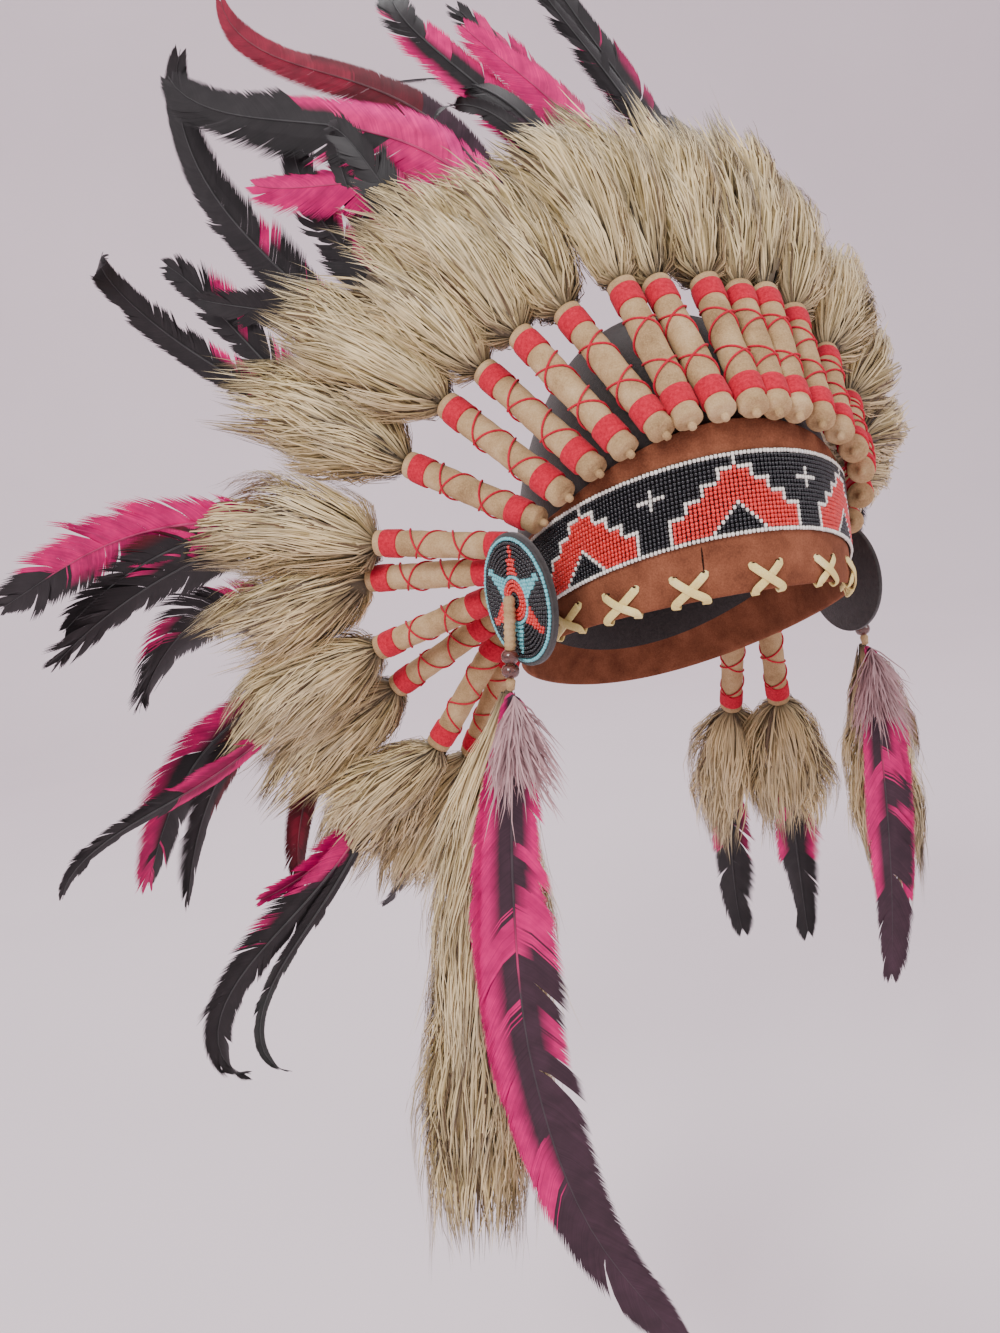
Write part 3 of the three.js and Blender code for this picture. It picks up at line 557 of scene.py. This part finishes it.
def sweep(start, heading, lie, curl, long, steps):
    """The line of a tuft or feather that leaves start near a heading and curves."""
    side, lift, bend, toward = lie
    sideways = unit(np.cross(heading, [0, 0, 1.0]))
    upwards = np.cross(sideways, heading)
    s, l, w = math.radians(side), math.radians(lift), math.radians(toward)
    first = heading * math.cos(s) * math.cos(l) + sideways * math.sin(s) * math.cos(l) + upwards * math.sin(l)
    aside = sideways * math.cos(w) + upwards * math.sin(w)
    aside = unit(aside - first * (aside @ first))
    t = (np.arange(steps) + 0.5) / steps
    turn = np.radians(bend * t + curl * t ** 4)[:, None]
    moves = (np.cos(turn) * first + np.sin(turn) * aside) * long / steps
    return np.vstack([start, start + np.cumsum(moves, 0)])


def at_share(values, t):
    """Values of a finely divided line at shares t of it, carried straight on past its end."""
    n = len(values) - 1
    k = np.clip((t * n).astype(int), 0, n - 1)
    f = t * n - k
    return values[k] + (values[k + 1] - values[k]) * (f[..., None] if values.ndim > 1 else f)


def ribbons(lines, face, half):
    """Thin pointed ribbons along many lines at once. face is the way each point's face looks."""
    ahead = unit(np.gradient(lines, axis=1))
    side = unit(np.cross(ahead, face)) * half[..., None]
    n, m = lines.shape[:2]
    body = np.stack([lines[:, :-1] - side[:, :-1], lines[:, :-1] + side[:, :-1]], 2).reshape(n, -1, 3)
    points = np.concatenate([body, lines[:, -1:]], 1)
    k = 2 * np.arange(m - 2)
    faces = np.vstack([np.column_stack([k, k + 1, k + 3]), np.column_stack([k, k + 3, k + 2]),
                       [[2 * m - 4, 2 * m - 3, 2 * m - 2]]])
    shifted = faces[None] + (np.arange(n) * (2 * m - 1))[:, None, None]
    return points.reshape(-1, 3), shifted.reshape(-1, 3)


def ribbon_tint(colours):
    """Colours for the points of ribbons from colours along their lines."""
    rgb = np.concatenate([np.repeat(colours[:, :-1], 2, 1), colours[:, -1:]], 1).reshape(-1, 3)
    return np.column_stack([rgb.clip(0, 1), np.ones(len(rgb))])


def mix(a, b, share):
    return a + (b - a) * share[..., None]


def fur(rng, spine, across, wide, deep, hairs, locks, reach, hair_long):
    """Fur along a spine: an inner body darkened as painted shade, and hairs that rise from it and gather into
    locks.
    wide and deep are half sizes along the spine, reach the share of it that carries roots."""
    ahead = unit(np.gradient(spine, axis=0))
    flat = unit(across - ahead * (ahead @ across)[:, None])
    through = np.cross(flat, ahead)
    total = np.linalg.norm(np.diff(spine, axis=0), axis=1).sum()
    lock_turn = rng.uniform(0, 2 * np.pi, locks)
    lock_at = reach * rng.uniform(0, 1, locks)
    lock_out = rng.uniform(0.72, 1.12, locks)
    lock_long = rng.uniform(0.8, 1.25, locks)
    lock_sway = rng.normal(0, 0.09, (locks, 2))
    mine = rng.integers(0, locks, hairs)
    root = (lock_at[mine] + rng.normal(0, 0.035, hairs)).clip(0.005, reach)
    turn = lock_turn[mine] + rng.normal(0, 0.3, hairs)
    stray = rng.uniform(0, 1, hairs) < STRAY_SHARE
    share = hair_long / total * lock_long[mine] * rng.uniform(0.75, 1.1, hairs)
    s = HAIR_POINTS[None]
    t = root[:, None] + share[:, None] * s
    gathering = (GATHER * s ** 1.3) * np.where(stray, -0.3, 1)[:, None]
    turns = turn[:, None] + (lock_turn[mine] - turn)[:, None] * gathering
    rise = rng.uniform(0.3, 0.62, hairs)[:, None]
    outs = rise + (lock_out[mine][:, None] - rise) * np.sin(np.minimum(s * 2.2, 1.57))
    outs = outs * (1 - 0.10 * s ** 3) + np.where(stray, rng.uniform(0.0, 0.4, hairs), 0)[:, None] * s ** 2
    x = np.cos(turns) * outs + lock_sway[mine, 0][:, None] * s ** 2
    y = np.sin(turns) * outs + lock_sway[mine, 1][:, None] * s ** 2
    f, g = at_share(flat, t.clip(0, 1)), at_share(through, t.clip(0, 1))
    w, d = at_share(wide, t.clip(0, 1)), at_share(deep, t.clip(0, 1))
    lines = at_share(spine, t) + f * (x * w)[..., None] + g * (y * d)[..., None]
    lines += rng.normal(0, 0.5, lines.shape) * (s > 0)[..., None]
    face = unit(f * x[..., None] + g * y[..., None])
    thin = rng.uniform(0.2, 0.4, hairs)[:, None] * np.array([0.9, 1.15, 1.1, 0.75, 0.2])[None]
    points, faces = ribbons(lines, face, thin)
    kind = rng.uniform(0, 1, hairs)[:, None] + rng.normal(0, 0.12, locks)[mine][:, None]
    base = np.where((kind > 0.75)[..., None], FUR["khaki"], FUR["cream"])
    base = np.where((kind > 0.95)[..., None], FUR["brown"], base) * rng.normal(1, 0.10, (hairs, 1, 1))
    dark_share = 0.16 + 0.62 * ((t[:, -1:] - 0.7) / 0.35).clip(0, 1)
    dark_tip = rng.uniform(0, 1, (hairs, 1)) < dark_share
    tip = np.where(dark_tip[..., None], FUR["dark"], FUR["pale"])
    colours = mix(FUR["root"], base, (s / 0.3).clip(0, 1) * np.ones_like(t))
    colours = mix(colours, tip, ((s - 0.55) / 0.45).clip(0, 1) * np.where(dark_tip, 0.9, 0.55))
    k = np.linspace(0, 1, 15)
    ring_turn = np.linspace(0, 2 * np.pi, 18, endpoint=False)
    core = 0.55 * (0.35 + 0.65 * np.sin(np.pi * k.clip(0.02, 1) ** 0.7)) * np.where(k > 0.99, 0.2, 1)
    lump = 1 + 0.12 * np.sin(5 * ring_turn[None] + 9 * k[:, None])
    aside = (np.cos(ring_turn) * (core * at_share(wide, k))[:, None] * lump)[..., None]
    upright_of = (np.sin(ring_turn) * (core * at_share(deep, k))[:, None] * lump)[..., None]
    rings = (at_share(spine, k * 0.9)[:, None] + at_share(flat, k)[:, None] * aside
             + at_share(through, k)[:, None] * upright_of)
    body = tube_from(rings)
    # The inner body takes 0.6 of the root colour: painted shade deep inside the fur.
    core_shade_tint = np.tile(np.append(FUR["root"] * 0.6, 1.0), (len(body[0]), 1))
    all_points, all_faces = gather([(points, faces), body])
    return all_points, all_faces, np.vstack([ribbon_tint(colours), core_shade_tint])


tuft_lines = []
for k, lie in enumerate(TUBES):
    rest = sweep(tube_tips[k] + headings[k] * NECK, headings[k], lie[3:], 0, TUFT_LONG - NECK, 6)
    tuft_lines.append(smooth_line(np.vstack([tube_tips[k] + headings[k] * 0.3, rest]), 43))


def fan_across(k):
    """The way along the fan at tube k, weighted to its nearer neighbour."""
    across = np.zeros(3)
    for j, sign in ((k - 1, -1), (k + 1, 1)):
        if 0 <= j < len(TUBES):
            apart = (tube_tips[j] - tube_tips[k]) * sign
            across += apart / (apart @ apart)
    return unit(across)


def tinted(name, roughness, scale, low, high, sheen):
    """A finish that takes its colour from the mesh and varies it in soft patches."""
    made, tree, shader = new_finish(name, roughness, Specular_IOR_Level=0.35, Sheen_Weight=sheen,
                                    Sheen_Roughness=0.4)
    tint = add_node(tree, "ShaderNodeAttribute", attribute_name="tint")
    spot = add_node(tree, "ShaderNodeTexCoord").outputs["Object"]
    cast = add_node(tree, "ShaderNodeTexNoise", {"Vector": spot, "Scale": scale, "Detail": 3})
    lift = add_node(tree, "ShaderNodeMapRange", {"Value": cast.outputs["Fac"], "From Min": 0.3,
                                                 "From Max": 0.7, "To Min": low, "To Max": high})
    shade = add_node(tree, "ShaderNodeVectorMath", operation="SCALE",
                     inputs={0: tint.outputs["Color"], "Scale": lift.outputs["Result"]})
    tree.links.new(shade.outputs["Vector"], shader.inputs["Base Color"])
    return made


guard_hair = tinted("long guard hair", 0.5, 45, 0.82, 1.12, 0.15)
for k in range(len(TUBES)):
    spine = tuft_lines[k]
    t = np.linspace(0, 1, len(spine))
    near = np.vstack([tuft_lines[j] for j in (k - 1, k + 1) if 0 <= j < len(TUBES)])
    room = np.linalg.norm(spine[:, None] - near[None], axis=-1).min(1) / 2
    swell_out = np.interp(t, [0, 0.12, 0.3, 0.65, 1], [0, 0.5, 0.85, 1, 0.72])
    wide = np.minimum(np.maximum(room * 1.7, 10), COLLAR + (TUFT_WIDE - COLLAR) * swell_out)
    deep = COLLAR + (TUFT_DEEP - COLLAR) * swell_out
    made = fur(np.random.default_rng(100 + k), spine, fan_across(k), wide, deep, HAIRS, LOCKS,
               ROOTED, HAIR_LONG)
    settle(build(*made), f"tuft_{k + 1:02d}", guard_hair, [f"plume_{k + 1:02d}"])

# ---- Feathers ----------------------------------------------------------------------------
# Long rooster feathers dyed pink over black stand in the tufts. A quill carries barbs on both
# sides, zipped into a satin vane that splits into ragged groups towards its edge.
EXIT = 0.56
BARB_PITCH, CAMBER = 0.85, 0.16  # barbs along the quill, and how far the vane's edges curl down
DYES = {key: np.array(linear(code)[:3]) for key, code in {
    "p": "d2006c", "h": "ea1c86", "m": "96064c", "k": "231f20", "g": "2d302d", "a": "3b232f",
    "r": "5e101f", "c": "861530"}.items()}
FEATHERS = [   # tube, side, lift, bend, toward, curl, long, wide, rag, then dyes from base to tip
    (1, 3, -3, 3, 120, 21, 95, 12, 1.0, "mkk", "mmk", "mpk"),
    (2, -30, -25, 56, 138, -170, 200, 22, 1.0, "pkkkkkkkkk", "ppakkkkkkk", "pppkpkkkkk"),
    (2, -22, -16, 47, 160, 8, 90, 14, 1.6, "ppp", "ppm", "ppp"),
    (2, -24, -30, 48, 138, -150, 190, 9, 1.0, "kkkggg", "kkkkgg", "mkkggg"),
    (3, 0, -14, 40, 262, 30, 120, 15, 0.6, "rrrr", "rrcr", "crrr"),
    (3, 6, -8, 44, 262, 24, 104, 9, 0.6, "rccc", "rrrc", "rccc"),
    (4, -8, 20, 78, 270, -20, 171, 30, 0.9, "rrrkkkkp", "kkkkkkkp", "pppppppp"),
    (4, -15, -20, 90, 151, -127, 177, 14, 1.0, "ppppkkkk", "ppmmkkkk", "ppppkkkk"),
    (4, -12, 6, 70, 262, -10, 150, 20, 0.9, "rrrrkk", "rrkkkk", "rrkkkk"),
    (5, 18, 30, 76, 248, 16, 150, 28, 1.4, "kkkkkk", "kpkkkk", "mpkpkk"),
    (6, -23, 11, 66, 292, -26, 192, 30, 1.2, "pppkpkkk", "ppppppkk", "ppppppkk"),
    (6, -3, -13, 41, 224, 18, 160, 24, 1.5, "rkkkkk", "kkkkkk", "mkpkkk"),
    (6, -14, 2, 54, 262, -8, 150, 20, 1.3, "ppkkkk", "rpkkkk", "pprkkk"),
    (7, 4, -3, 65, 137, 121, 180, 15, 1.3, "ppkkkkk", "pmkkkkk", "pkpkkkk"),
    (7, 2, 14, 40, 116, -55, 135, 20, 1.3, "ppkkkk", "pkkkkk", "ppkpkk"),
    (8, 3, 14, 4, 273, -104, 213, 22, 0.7, "ppkkkkkkk", "ppkkkkkkk", "ppkpkkkkk"),
    (8, 14, 8, 73, 205, -43, 105, 18, 1.4, "ppkkk", "ppkkk", "pkkkk"),
    (9, -3, -8, 45, 91, 27, 120, 22, 1.5, "kkkkkk", "kkkkkk", "ppppkk"),
    (9, 4, 4, 50, 100, 10, 96, 15, 1.4, "kkkk", "kkkk", "pppk"),
    (10, 1, -20, 110, 112, -120, 101, 17, 1.4, "pkkk", "pkkk", "ppkk"),
    (11, 2, 14, 109, 220, -110, 216, 30, 0.8, "ppppkkkkk", "ppppkkkkk", "phhhpkkkk"),
    (11, 9, 20, 97, 233, -108, 250, 18, 0.4, "aaarrcccc", "aaarrcccc", "aaarrrccc"),
    (11, -2, 4, 96, 222, -70, 150, 26, 1.1, "pppppp", "pppppp", "pphhpp"),
    (12, 16, 0, 113, 164, -170, 179, 20, 0.9, "ppppppkk", "kkkkkkkk", "ppppppkk"),
    (12, -5, 30, 99, 259, -45, 182, 11, 0.8, "aakkkk", "kkkkkk", "mkkkkk"),
    (12, -13, 14, 8, 186, 141, 92, 8, 1.0, "kkkk", "kkkk", "pkkk"),
    (13, 16, -9, 80, 157, -39, 160, 24, 0.9, "ppppppk", "pppppkk", "hpppppk"),
    (13, 8, 2, 76, 165, -40, 128, 20, 1.0, "ppppp", "hhppp", "phppp"),
    (14, 18, -15, 110, 138, -88, 181, 22, 0.9, "pppppkk", "kkkkkkk", "kkkmkkk"),
    (14, 10, -6, 96, 140, -60, 150, 15, 1.2, "mkkkk", "kkkkk", "rrkkk"),
    (15, 4, 2, 20, 200, 40, 110, 18, 1.2, "mrkk", "kkkk", "mmkk"),
    (16, 2, 6, 24, 240, 40, 120, 18, 1.2, "pmkk", "kkkk", "rrkk"),
    (17, 0, 4, 26, 250, 40, 140, 18, 1.0, "ppkkk", "pkkkk", "ppkkk"),
    (18, 0, 4, 30, 260, 40, 150, 18, 1.0, "pppkk", "pkkkk", "pppkk"),
    (19, 0, 3, 30, 262, 40, 160, 20, 1.0, "pppkk", "ppkkk", "pppkk"),
    (20, 0, 3, 30, 265, 40, 165, 20, 1.0, "ppkkk", "ppppk", "pppkk"),
    (21, 0, 3, 32, 268, 40, 165, 22, 1.0, "pkkkk", "ppkkk", "pppkk"),
    (22, 0, 3, 34, 270, 30, 160, 22, 1.0, "pppkk", "pkkkk", "ppppk"),
    (23, 0, 0, 16, 275, 30, 130, 22, 1.1, "ppkk", "pkkk", "ppkk"),
    (24, 0, 0, 16, 275, 30, 130, 22, 1.1, "pmkk", "kkkk", "ppkk"),
]
VANE = ([0, 0.12, 0.35, 0.6, 0.85, 1.0], [0.4, 0.9, 1.3, 1.2, 0.75, 0.22])


def dye(keys, share):
    table = np.array([DYES[key] for key in keys])
    return table[(share * len(keys)).astype(int).clip(0, len(keys) - 1)]


def feather(rng, line, across, wide, rag, dyes, splits=0):
    """A feather along a line: dyes gives the colours of its low edge, middle and high edge."""
    ahead = unit(np.gradient(line, axis=0))
    flat = unit(across - ahead * (ahead @ across)[:, None])
    face = np.cross(flat, ahead)
    total = np.linalg.norm(np.diff(line, axis=0), axis=1).sum()
    count = int(total / BARB_PITCH)
    lines, faces_out, halves, colours = [], [], [], []
    s = np.array([0, 0.34, 0.7, 1.0])[None]
    for side, keys in ((-1, dyes[0]), (1, dyes[2])):
        t = (np.arange(count) + rng.uniform(0, 0.5, count)) / count
        group = np.cumsum(rng.uniform(0, 1, count) < 0.07 * rag)
        groups = group[-1] + 1
        swing = rng.normal(0, 0.10 * rag, groups)
        lengths = 1 + rng.normal(0, 0.09 * rag, groups)
        lifts = rng.normal(0, 1.1 * rag, groups)
        for _ in range(splits):
            swing[rng.integers(groups // 2, groups)] += 0.35
        half = np.interp(t, *VANE) * wide / 2 * lengths[group] * rng.normal(1, 0.03 * rag, count)
        forward = half * np.maximum(np.interp(t, [0, 0.7, 1], [1.0, 1.25, 2.6]) + swing[group], 0.3)
        spread = half[:, None] * s ** 0.92 * side
        at = ((t * total * 0.965)[:, None] + forward[:, None] * s ** 1.3) / total
        curve = -CAMBER * (spread / (wide / 2)) ** 2 * wide / 2 + lifts[group][:, None] * s ** 2
        f, n, a = (at_share(way, at.clip(0, 1)) for way in (flat, face, ahead))
        lines.append(at_share(line, at) + f * spread[..., None] + n * curve[..., None])
        faces_out.append(unit(n + a * 0.16))
        halves.append(np.ones((count, 1)) * BARB_PITCH * 0.62 * np.array([1.0, 1.05, 0.85, 0.1])[None])
        wander = rng.normal(0, 0.035, groups)[group] + rng.normal(0, 0.008, count)
        place = (t + wander).clip(0, 0.999)[:, None] * np.ones_like(s)
        border = 0.42 + rng.normal(0, 0.10, groups)[group][:, None]
        rgb = np.where((s > border)[..., None], dye(keys, place), dye(dyes[1], place))
        colours.append(rgb * rng.normal(1, 0.08, (count, 1, 1)))
    vane = ribbons(np.concatenate(lines), np.concatenate(faces_out), np.concatenate(halves))
    k = np.linspace(0, 0.985, 26)
    spin = np.linspace(0, 2 * np.pi, 5, endpoint=False)
    thick = 0.75 * (1 - k) + 0.16
    quill_line = at_share(line, k) + at_share(face, k) * 0.15
    rings = [quill_line + (thick * np.cos(a))[:, None] * at_share(flat, k)
             + (thick * np.sin(a))[:, None] * at_share(face, k) for a in spin]
    quill = tube_from(np.stack(rings, 1))
    quill_rgb = np.repeat(dye(dyes[1], k)[:, None] * 0.6 + 0.03, 5, 1).reshape(-1, 3)
    points, faces = gather([vane, quill])
    quill_tint = np.column_stack([quill_rgb, np.ones(len(quill_rgb))])
    return points, faces, np.vstack([ribbon_tint(np.concatenate(colours)), quill_tint])


def joined(made):
    points, faces = gather([(p, f) for p, f, _ in made])
    return points, faces, np.vstack([c for _, _, c in made])


dyed_vane = tinted("dyed rooster feather", 0.5, 110, 0.7, 1.15, 0.04)
for k in range(len(TUBES)):
    start = at_share(tuft_lines[k], np.array(EXIT))
    heading = unit(at_share(tuft_lines[k], np.array(EXIT + 0.02)) - start)
    rng = np.random.default_rng(300 + k)
    made = []
    for tube, side, lift_up, bend, toward, curl, long, wide, rag, low, core, high in FEATHERS:
        if tube == k + 1:
            line = smooth_line(sweep(start, heading, (side, lift_up, bend, toward), curl, long, 24), 97)
            made.append(feather(rng, line, fan_across(k), wide, rag, (low, core, high)))
    settle(build(*joined(made)), f"feathers_{k + 1:02d}", dyed_vane, [f"plume_{k + 1:02d}"])

# ---- Rosettes ----------------------------------------------------------------------------
# A felt disc on each side, sewn over with rings of seed beads: a black eye in a red ring, six
# stepped rays in red and turquoise on black, and a turquoise rim.
ROSETTES = {"right": (-59, -71, 21), "left": (104, 104, 18)}   # place, facing, height
ROSETTE_OUT, ROSETTE_R, DISC = 22.0, 29.5, 2.7
BEADED_R, BEAD_RINGS, RING_PITCH = 28.0, 15, 1.86
RAYS = ["red", "turquoise"] * 3
RAY_STEPS = [(15.5, 4.3), (19.2, 3.0), (24.0, 1.7)]   # out to this radius, this half width


def rosette_frame(side):
    place, faces, above = ROSETTES[side]
    facing = math.radians(faces)
    front = np.array([math.sin(facing), -math.cos(facing), 0.0])
    return front, band_point(math.radians(place), above, ROSETTE_OUT)


def rosette_colour(radius, clock):
    """The chart of a rosette. clock is the angle from its top in degrees."""
    if radius < 4.4:
        return "black"
    if radius < 9.8:
        return "red"
    if radius < 11.6 or radius > 25.4:
        return "turquoise"
    ray = round(clock / 60)
    half = next((h for top, h in RAY_STEPS if radius <= top), 0)
    aside = radius * math.sin(math.radians(clock - 60 * ray))
    return RAYS[ray % 6] if abs(aside) < half else "black"


ring_bead = bead_form(1.78, 1.7)
skyward = np.array([0, 0, 1.0])
for side in ROSETTES:
    front, centre = rosette_frame(side)
    beside = np.cross(skyward, front)
    bpy.ops.mesh.primitive_cylinder_add(vertices=72, radius=ROSETTE_R, depth=DISC)
    disc = bpy.context.object
    bpy.ops.object.mode_set(mode="EDIT")
    bpy.ops.mesh.select_all(action="SELECT")
    bpy.ops.mesh.bevel(offset=0.6, segments=2, affect="EDGES")
    bpy.ops.object.mode_set(mode="OBJECT")
    reshape(disc, lambda x, y, z: centre + x[:, None] * beside + y[:, None] * skyward
            + (z + DISC / 2)[:, None] * front)
    face_out()
    bpy.ops.object.shade_smooth_by_angle(angle=math.radians(40))
    settle(disc, f"rosette_felt_{side}", felt)
    spots, axes, colours = [], [], []
    rng = np.random.default_rng(40)
    for ring in range(BEAD_RINGS):
        radius = 0.9 + ring * RING_PITCH
        number = max(3, round(2 * math.pi * radius / 1.82))
        for n in range(number):
            clock = 360 * (n + 0.5 * (ring % 2)) / number
            a = math.radians(clock)
            spoke = skyward * math.cos(a) + beside * math.sin(a)
            dome = 0.5 * (1 - (radius / BEADED_R) ** 2)
            spots.append(centre + spoke * radius + front * (DISC + 0.55 + dome))
            axes.append([spoke, front, np.cross(front, spoke)])
            colours.append(glass[rosette_colour(radius, clock)])
    spots, axes, colours = np.array(spots), np.array(axes), np.array(colours)
    spots += rng.normal(0, 0.05, spots.shape)
    axes = axes * rng.normal(1, 0.04, (len(spots), 1, 1))
    colours[:, :3] *= rng.normal(1, 0.08, (len(colours), 1))
    points, faces = copies(ring_bead, spots, axes)
    beads = build(points, faces, np.repeat(colours, len(ring_bead[0]), 0).clip(0, 1))
    settle(beads, f"rosette_beads_{side}", bead_glass, [f"rosette_{side}"])

# ---- Drop beads --------------------------------------------------------------------------
# From the middle of each rosette hangs a thong wrapped in tan leather, with two turned horn
# beads on it.
DROP_AHEAD = 6.9                 # the thong's axis clears the beadwork
DROPS = {                        # outwards, fur, feather, sway, curl, fur beside the feathers
    "right": (1, 1.0, 1.0, 0.16, 1.0, 5), "left": (-1, 0.5, 0.55, 0.03, 0.2, 12)}
THONG = [(1.6, -2.4), (2.7, -1.2)] + [(2.55 + 0.28 * math.sin(2.4 * y), y) for y in np.arange(0, 21, 0.65)]
THONG += [(1.6, 21.4), (1.4, 34), (2.2, 35), (1.7, 39), (0.6, 39.6)]
HORN = [(0.8, -3.1), (2.2, -3.0), (3.3, -2.2), (3.95, -0.8), (3.95, 0.8), (3.3, 2.2), (2.2, 3.0), (0.8, 3.1)]


def drop_top(side):
    front, centre = rosette_frame(side)
    return centre + front * DROP_AHEAD


def turned_about(origin, axis, profile, sides):
    """A form turned about an axis through origin, from radius and distance along it."""
    first = unit(np.cross(axis, [0.3, 1.0, 0.1]))
    turn = np.linspace(0, 2 * np.pi, sides, endpoint=False)
    ring = np.cos(turn)[:, None] * first + np.sin(turn)[:, None] * np.cross(axis, first)
    return tube_from(np.stack([origin + axis * y + ring * r for r, y in profile]))


horn = grained("polished horn", 0.18, {"Scale": 380, "Detail": 4, "Distortion": 2},
               [(0.3, "34160f"), (0.7, "754237")], IOR=1.54, Coat_Weight=0.6, Coat_Roughness=0.06)
for side, (way, *_) in DROPS.items():
    down = unit(np.array([-way * 0.12, 0, -1.0]))
    thong = build(*turned_about(drop_top(side), down, THONG, 20))
    settle(thong, f"drop_thong_{side}", tan_suede)
    pair = [turned_about(drop_top(side) + down * y, down, HORN, 24) for y in (24.2, 30.6)]
    settle(build(*gather(pair)), f"drop_horn_beads_{side}", horn, [f"drop_beads_{side}"])

# ---- Drop fur and feathers ---------------------------------------------------------------
# Below the beads a long strip of the same fur hangs behind two rooster feathers, whose grey
# pink down shows at the top.
FUR_DROP, FEATHER_DROP = 262.0, 350.0
DROP_FEATHERS = [                # sideways, ahead, swing, long, wide, rag, splits, dyes
    (0, 5, 46, 1.0, 30, 0.7, 3, "pppppppaaa", "aaaapaaaaaaaaa", "ppppapaaaaaa"),
    (-9, 1, 4, 0.78, 17, 0.6, 0, "ppppppppp", "ppppmpppp", "pppppppp"),
]


def drop_point(side, depth, ahead):
    way, _, _, sway, *_ = DROPS[side]
    return drop_top(side) + np.array([-way * (4.7 + depth * sway), -ahead, -40 - depth])


east = np.array([1.0, 0, 0])
for n, (side, (way, fur_share, feather_share, sway, curl, beside)) in enumerate(DROPS.items()):
    spots = []
    for t in (0, 0.33, 0.66, 1):
        hang = min(1, 3 * t)
        spots.append(drop_point(side, t * FUR_DROP * fur_share, -6 - 14 * hang) - east * way * beside * hang)
    spine = smooth_line(spots, 49)
    t = np.linspace(0, 1, len(spine))
    wide = np.interp(t, [0, 0.2, 0.45, 0.75, 1], [5, 22, 33, 34, 26]) * math.sqrt(fur_share)
    made = fur(np.random.default_rng(500 + n), spine, east, wide, wide * 0.45 + 2, int(5200 * fur_share),
               int(150 * fur_share), 0.84, 62 * math.sqrt(fur_share))
    settle(build(*made), f"drop_fur_{side}_hair", guard_hair, [f"drop_fur_{side}"])
    blades = []
    rng = np.random.default_rng(520 + n)
    for over, ahead, swing, share, vane_wide, rag, splits, low, core, high in DROP_FEATHERS:
        long = FEATHER_DROP * feather_share * share
        spots = []
        for t in (0, 0.25, 0.5, 0.75, 1):
            shift = over * min(1, 4 * t) + (swing + long * sway) * curl * t ** 3
            spots.append(drop_point(side, t * long, ahead + 3 * t) + east * way * shift)
        blades.append(feather(rng, smooth_line(spots, 161), east, vane_wide * math.sqrt(feather_share), rag,
                              (low, core, high), splits))
    settle(build(*joined(blades)), f"drop_feathers_{side}_vanes", dyed_vane,
           [f"drop_feathers_{side}"])
    count = 420
    root = np.array([drop_point(side, d, 7) for d in rng.uniform(0, 26, count)])
    turn = rng.uniform(0, 2 * np.pi, count)
    sideways = np.stack([np.cos(turn), np.sin(turn) * 0.6 - 0.4, -rng.uniform(0.5, 1.6, count)], -1)
    s = HAIR_POINTS[None, :, None]
    reach = rng.uniform(8, 20, count)[:, None, None]
    lines = root[:, None] + sideways[:, None] * reach * s
    lines[..., 2] -= reach[..., 0] * 0.5 * s[..., 0] ** 2
    lines += rng.normal(0, 0.9, lines.shape) * s
    face = np.broadcast_to(np.array([-0.3 * way, -1.0, 0.1]), lines.shape)
    half = np.ones((count, 1)) * np.array([0.3, 0.45, 0.4, 0.25, 0.1])[None]
    points, faces = ribbons(lines, face, half)
    greys = np.array(linear("b58f90")[:3]) * rng.normal(1, 0.15, (count, 1, 1)) * np.ones((1, 5, 1))
    settle(build(points, faces, ribbon_tint(greys)), f"drop_down_{side}", guard_hair)

# ---- Studio ------------------------------------------------------------------------------
# A pale paper sweep that rises behind the object, broad soft lights, and a camera in front and
# to the wearer's right.
FLOOR_Z, SWEEP_FROM, SWEEP_R = -460.0, 1700.0, 900.0
bpy.ops.mesh.primitive_grid_add(x_subdivisions=2, y_subdivisions=60, size=1)
floor = bpy.context.object
floor.name = "floor"


def paper_place(x, y, z):
    """The grid's length runs along the floor, round the bend and up."""
    run = (y + 0.5) * 9000 - 4000
    bend = ((run - SWEEP_FROM) / SWEEP_R).clip(0, math.pi / 2)
    flat = np.minimum(run, SWEEP_FROM) + SWEEP_R * np.sin(bend)
    rise = SWEEP_R * (1 - np.cos(bend)) + np.maximum(run - SWEEP_FROM - SWEEP_R * math.pi / 2, 0)
    return np.column_stack([x * 12000, flat, FLOOR_Z + rise])


reshape(floor, paper_place)
bpy.ops.object.shade_smooth()
floor.data.materials.append(grained("pale paper", 0.95, {"Scale": 3, "Detail": 3},
                                    [(0.3, "ecdfe4"), (0.7, "f0e3e8")], Specular_IOR_Level=0.1))
floor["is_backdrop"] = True

world = bpy.data.worlds.new("studio")
bpy.context.scene.world = world
world.use_nodes = True
sky = world.node_tree.nodes["Background"]
sky.inputs["Color"].default_value = linear("e3dae2")
sky.inputs["Strength"].default_value = 1.05
LAMPS = [                        # position, size and watts
    ((-1.3, -1.5, 1.5), 1.0, 44), ((1.5, -1.2, 0.9), 1.2, 14), ((0.2, 1.2, 1.7), 1.2, 20)]
for lamp_at, size, power in LAMPS:
    bpy.ops.object.light_add(type="AREA", location=lamp_at)
    lamp = bpy.context.object
    lamp.data.size = size
    lamp.data.energy = power
    lamp.rotation_euler = (-Vector(lamp_at)).to_track_quat("-Z", "Y").to_euler()

EYE = (-0.18833, -0.61649, 0.09730)
RIGHT, UP = (0.97407, -0.18044, -0.13649), (0.16917, 0.18030, 0.96895)
BACK = (-0.15023, -0.96692, 0.20615)
bpy.ops.object.camera_add()
camera = bpy.context.object
camera.matrix_world = Matrix.Translation(EYE) @ Matrix((RIGHT, UP, BACK)).transposed().to_4x4()
camera.data.sensor_width = 36
camera.data.lens = 35.42
camera.data.clip_start = 0.01
bpy.context.scene.camera = camera

size = {"cad": [list(corner) for corner in cad_box], "visual": [list(corner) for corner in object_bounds()]}
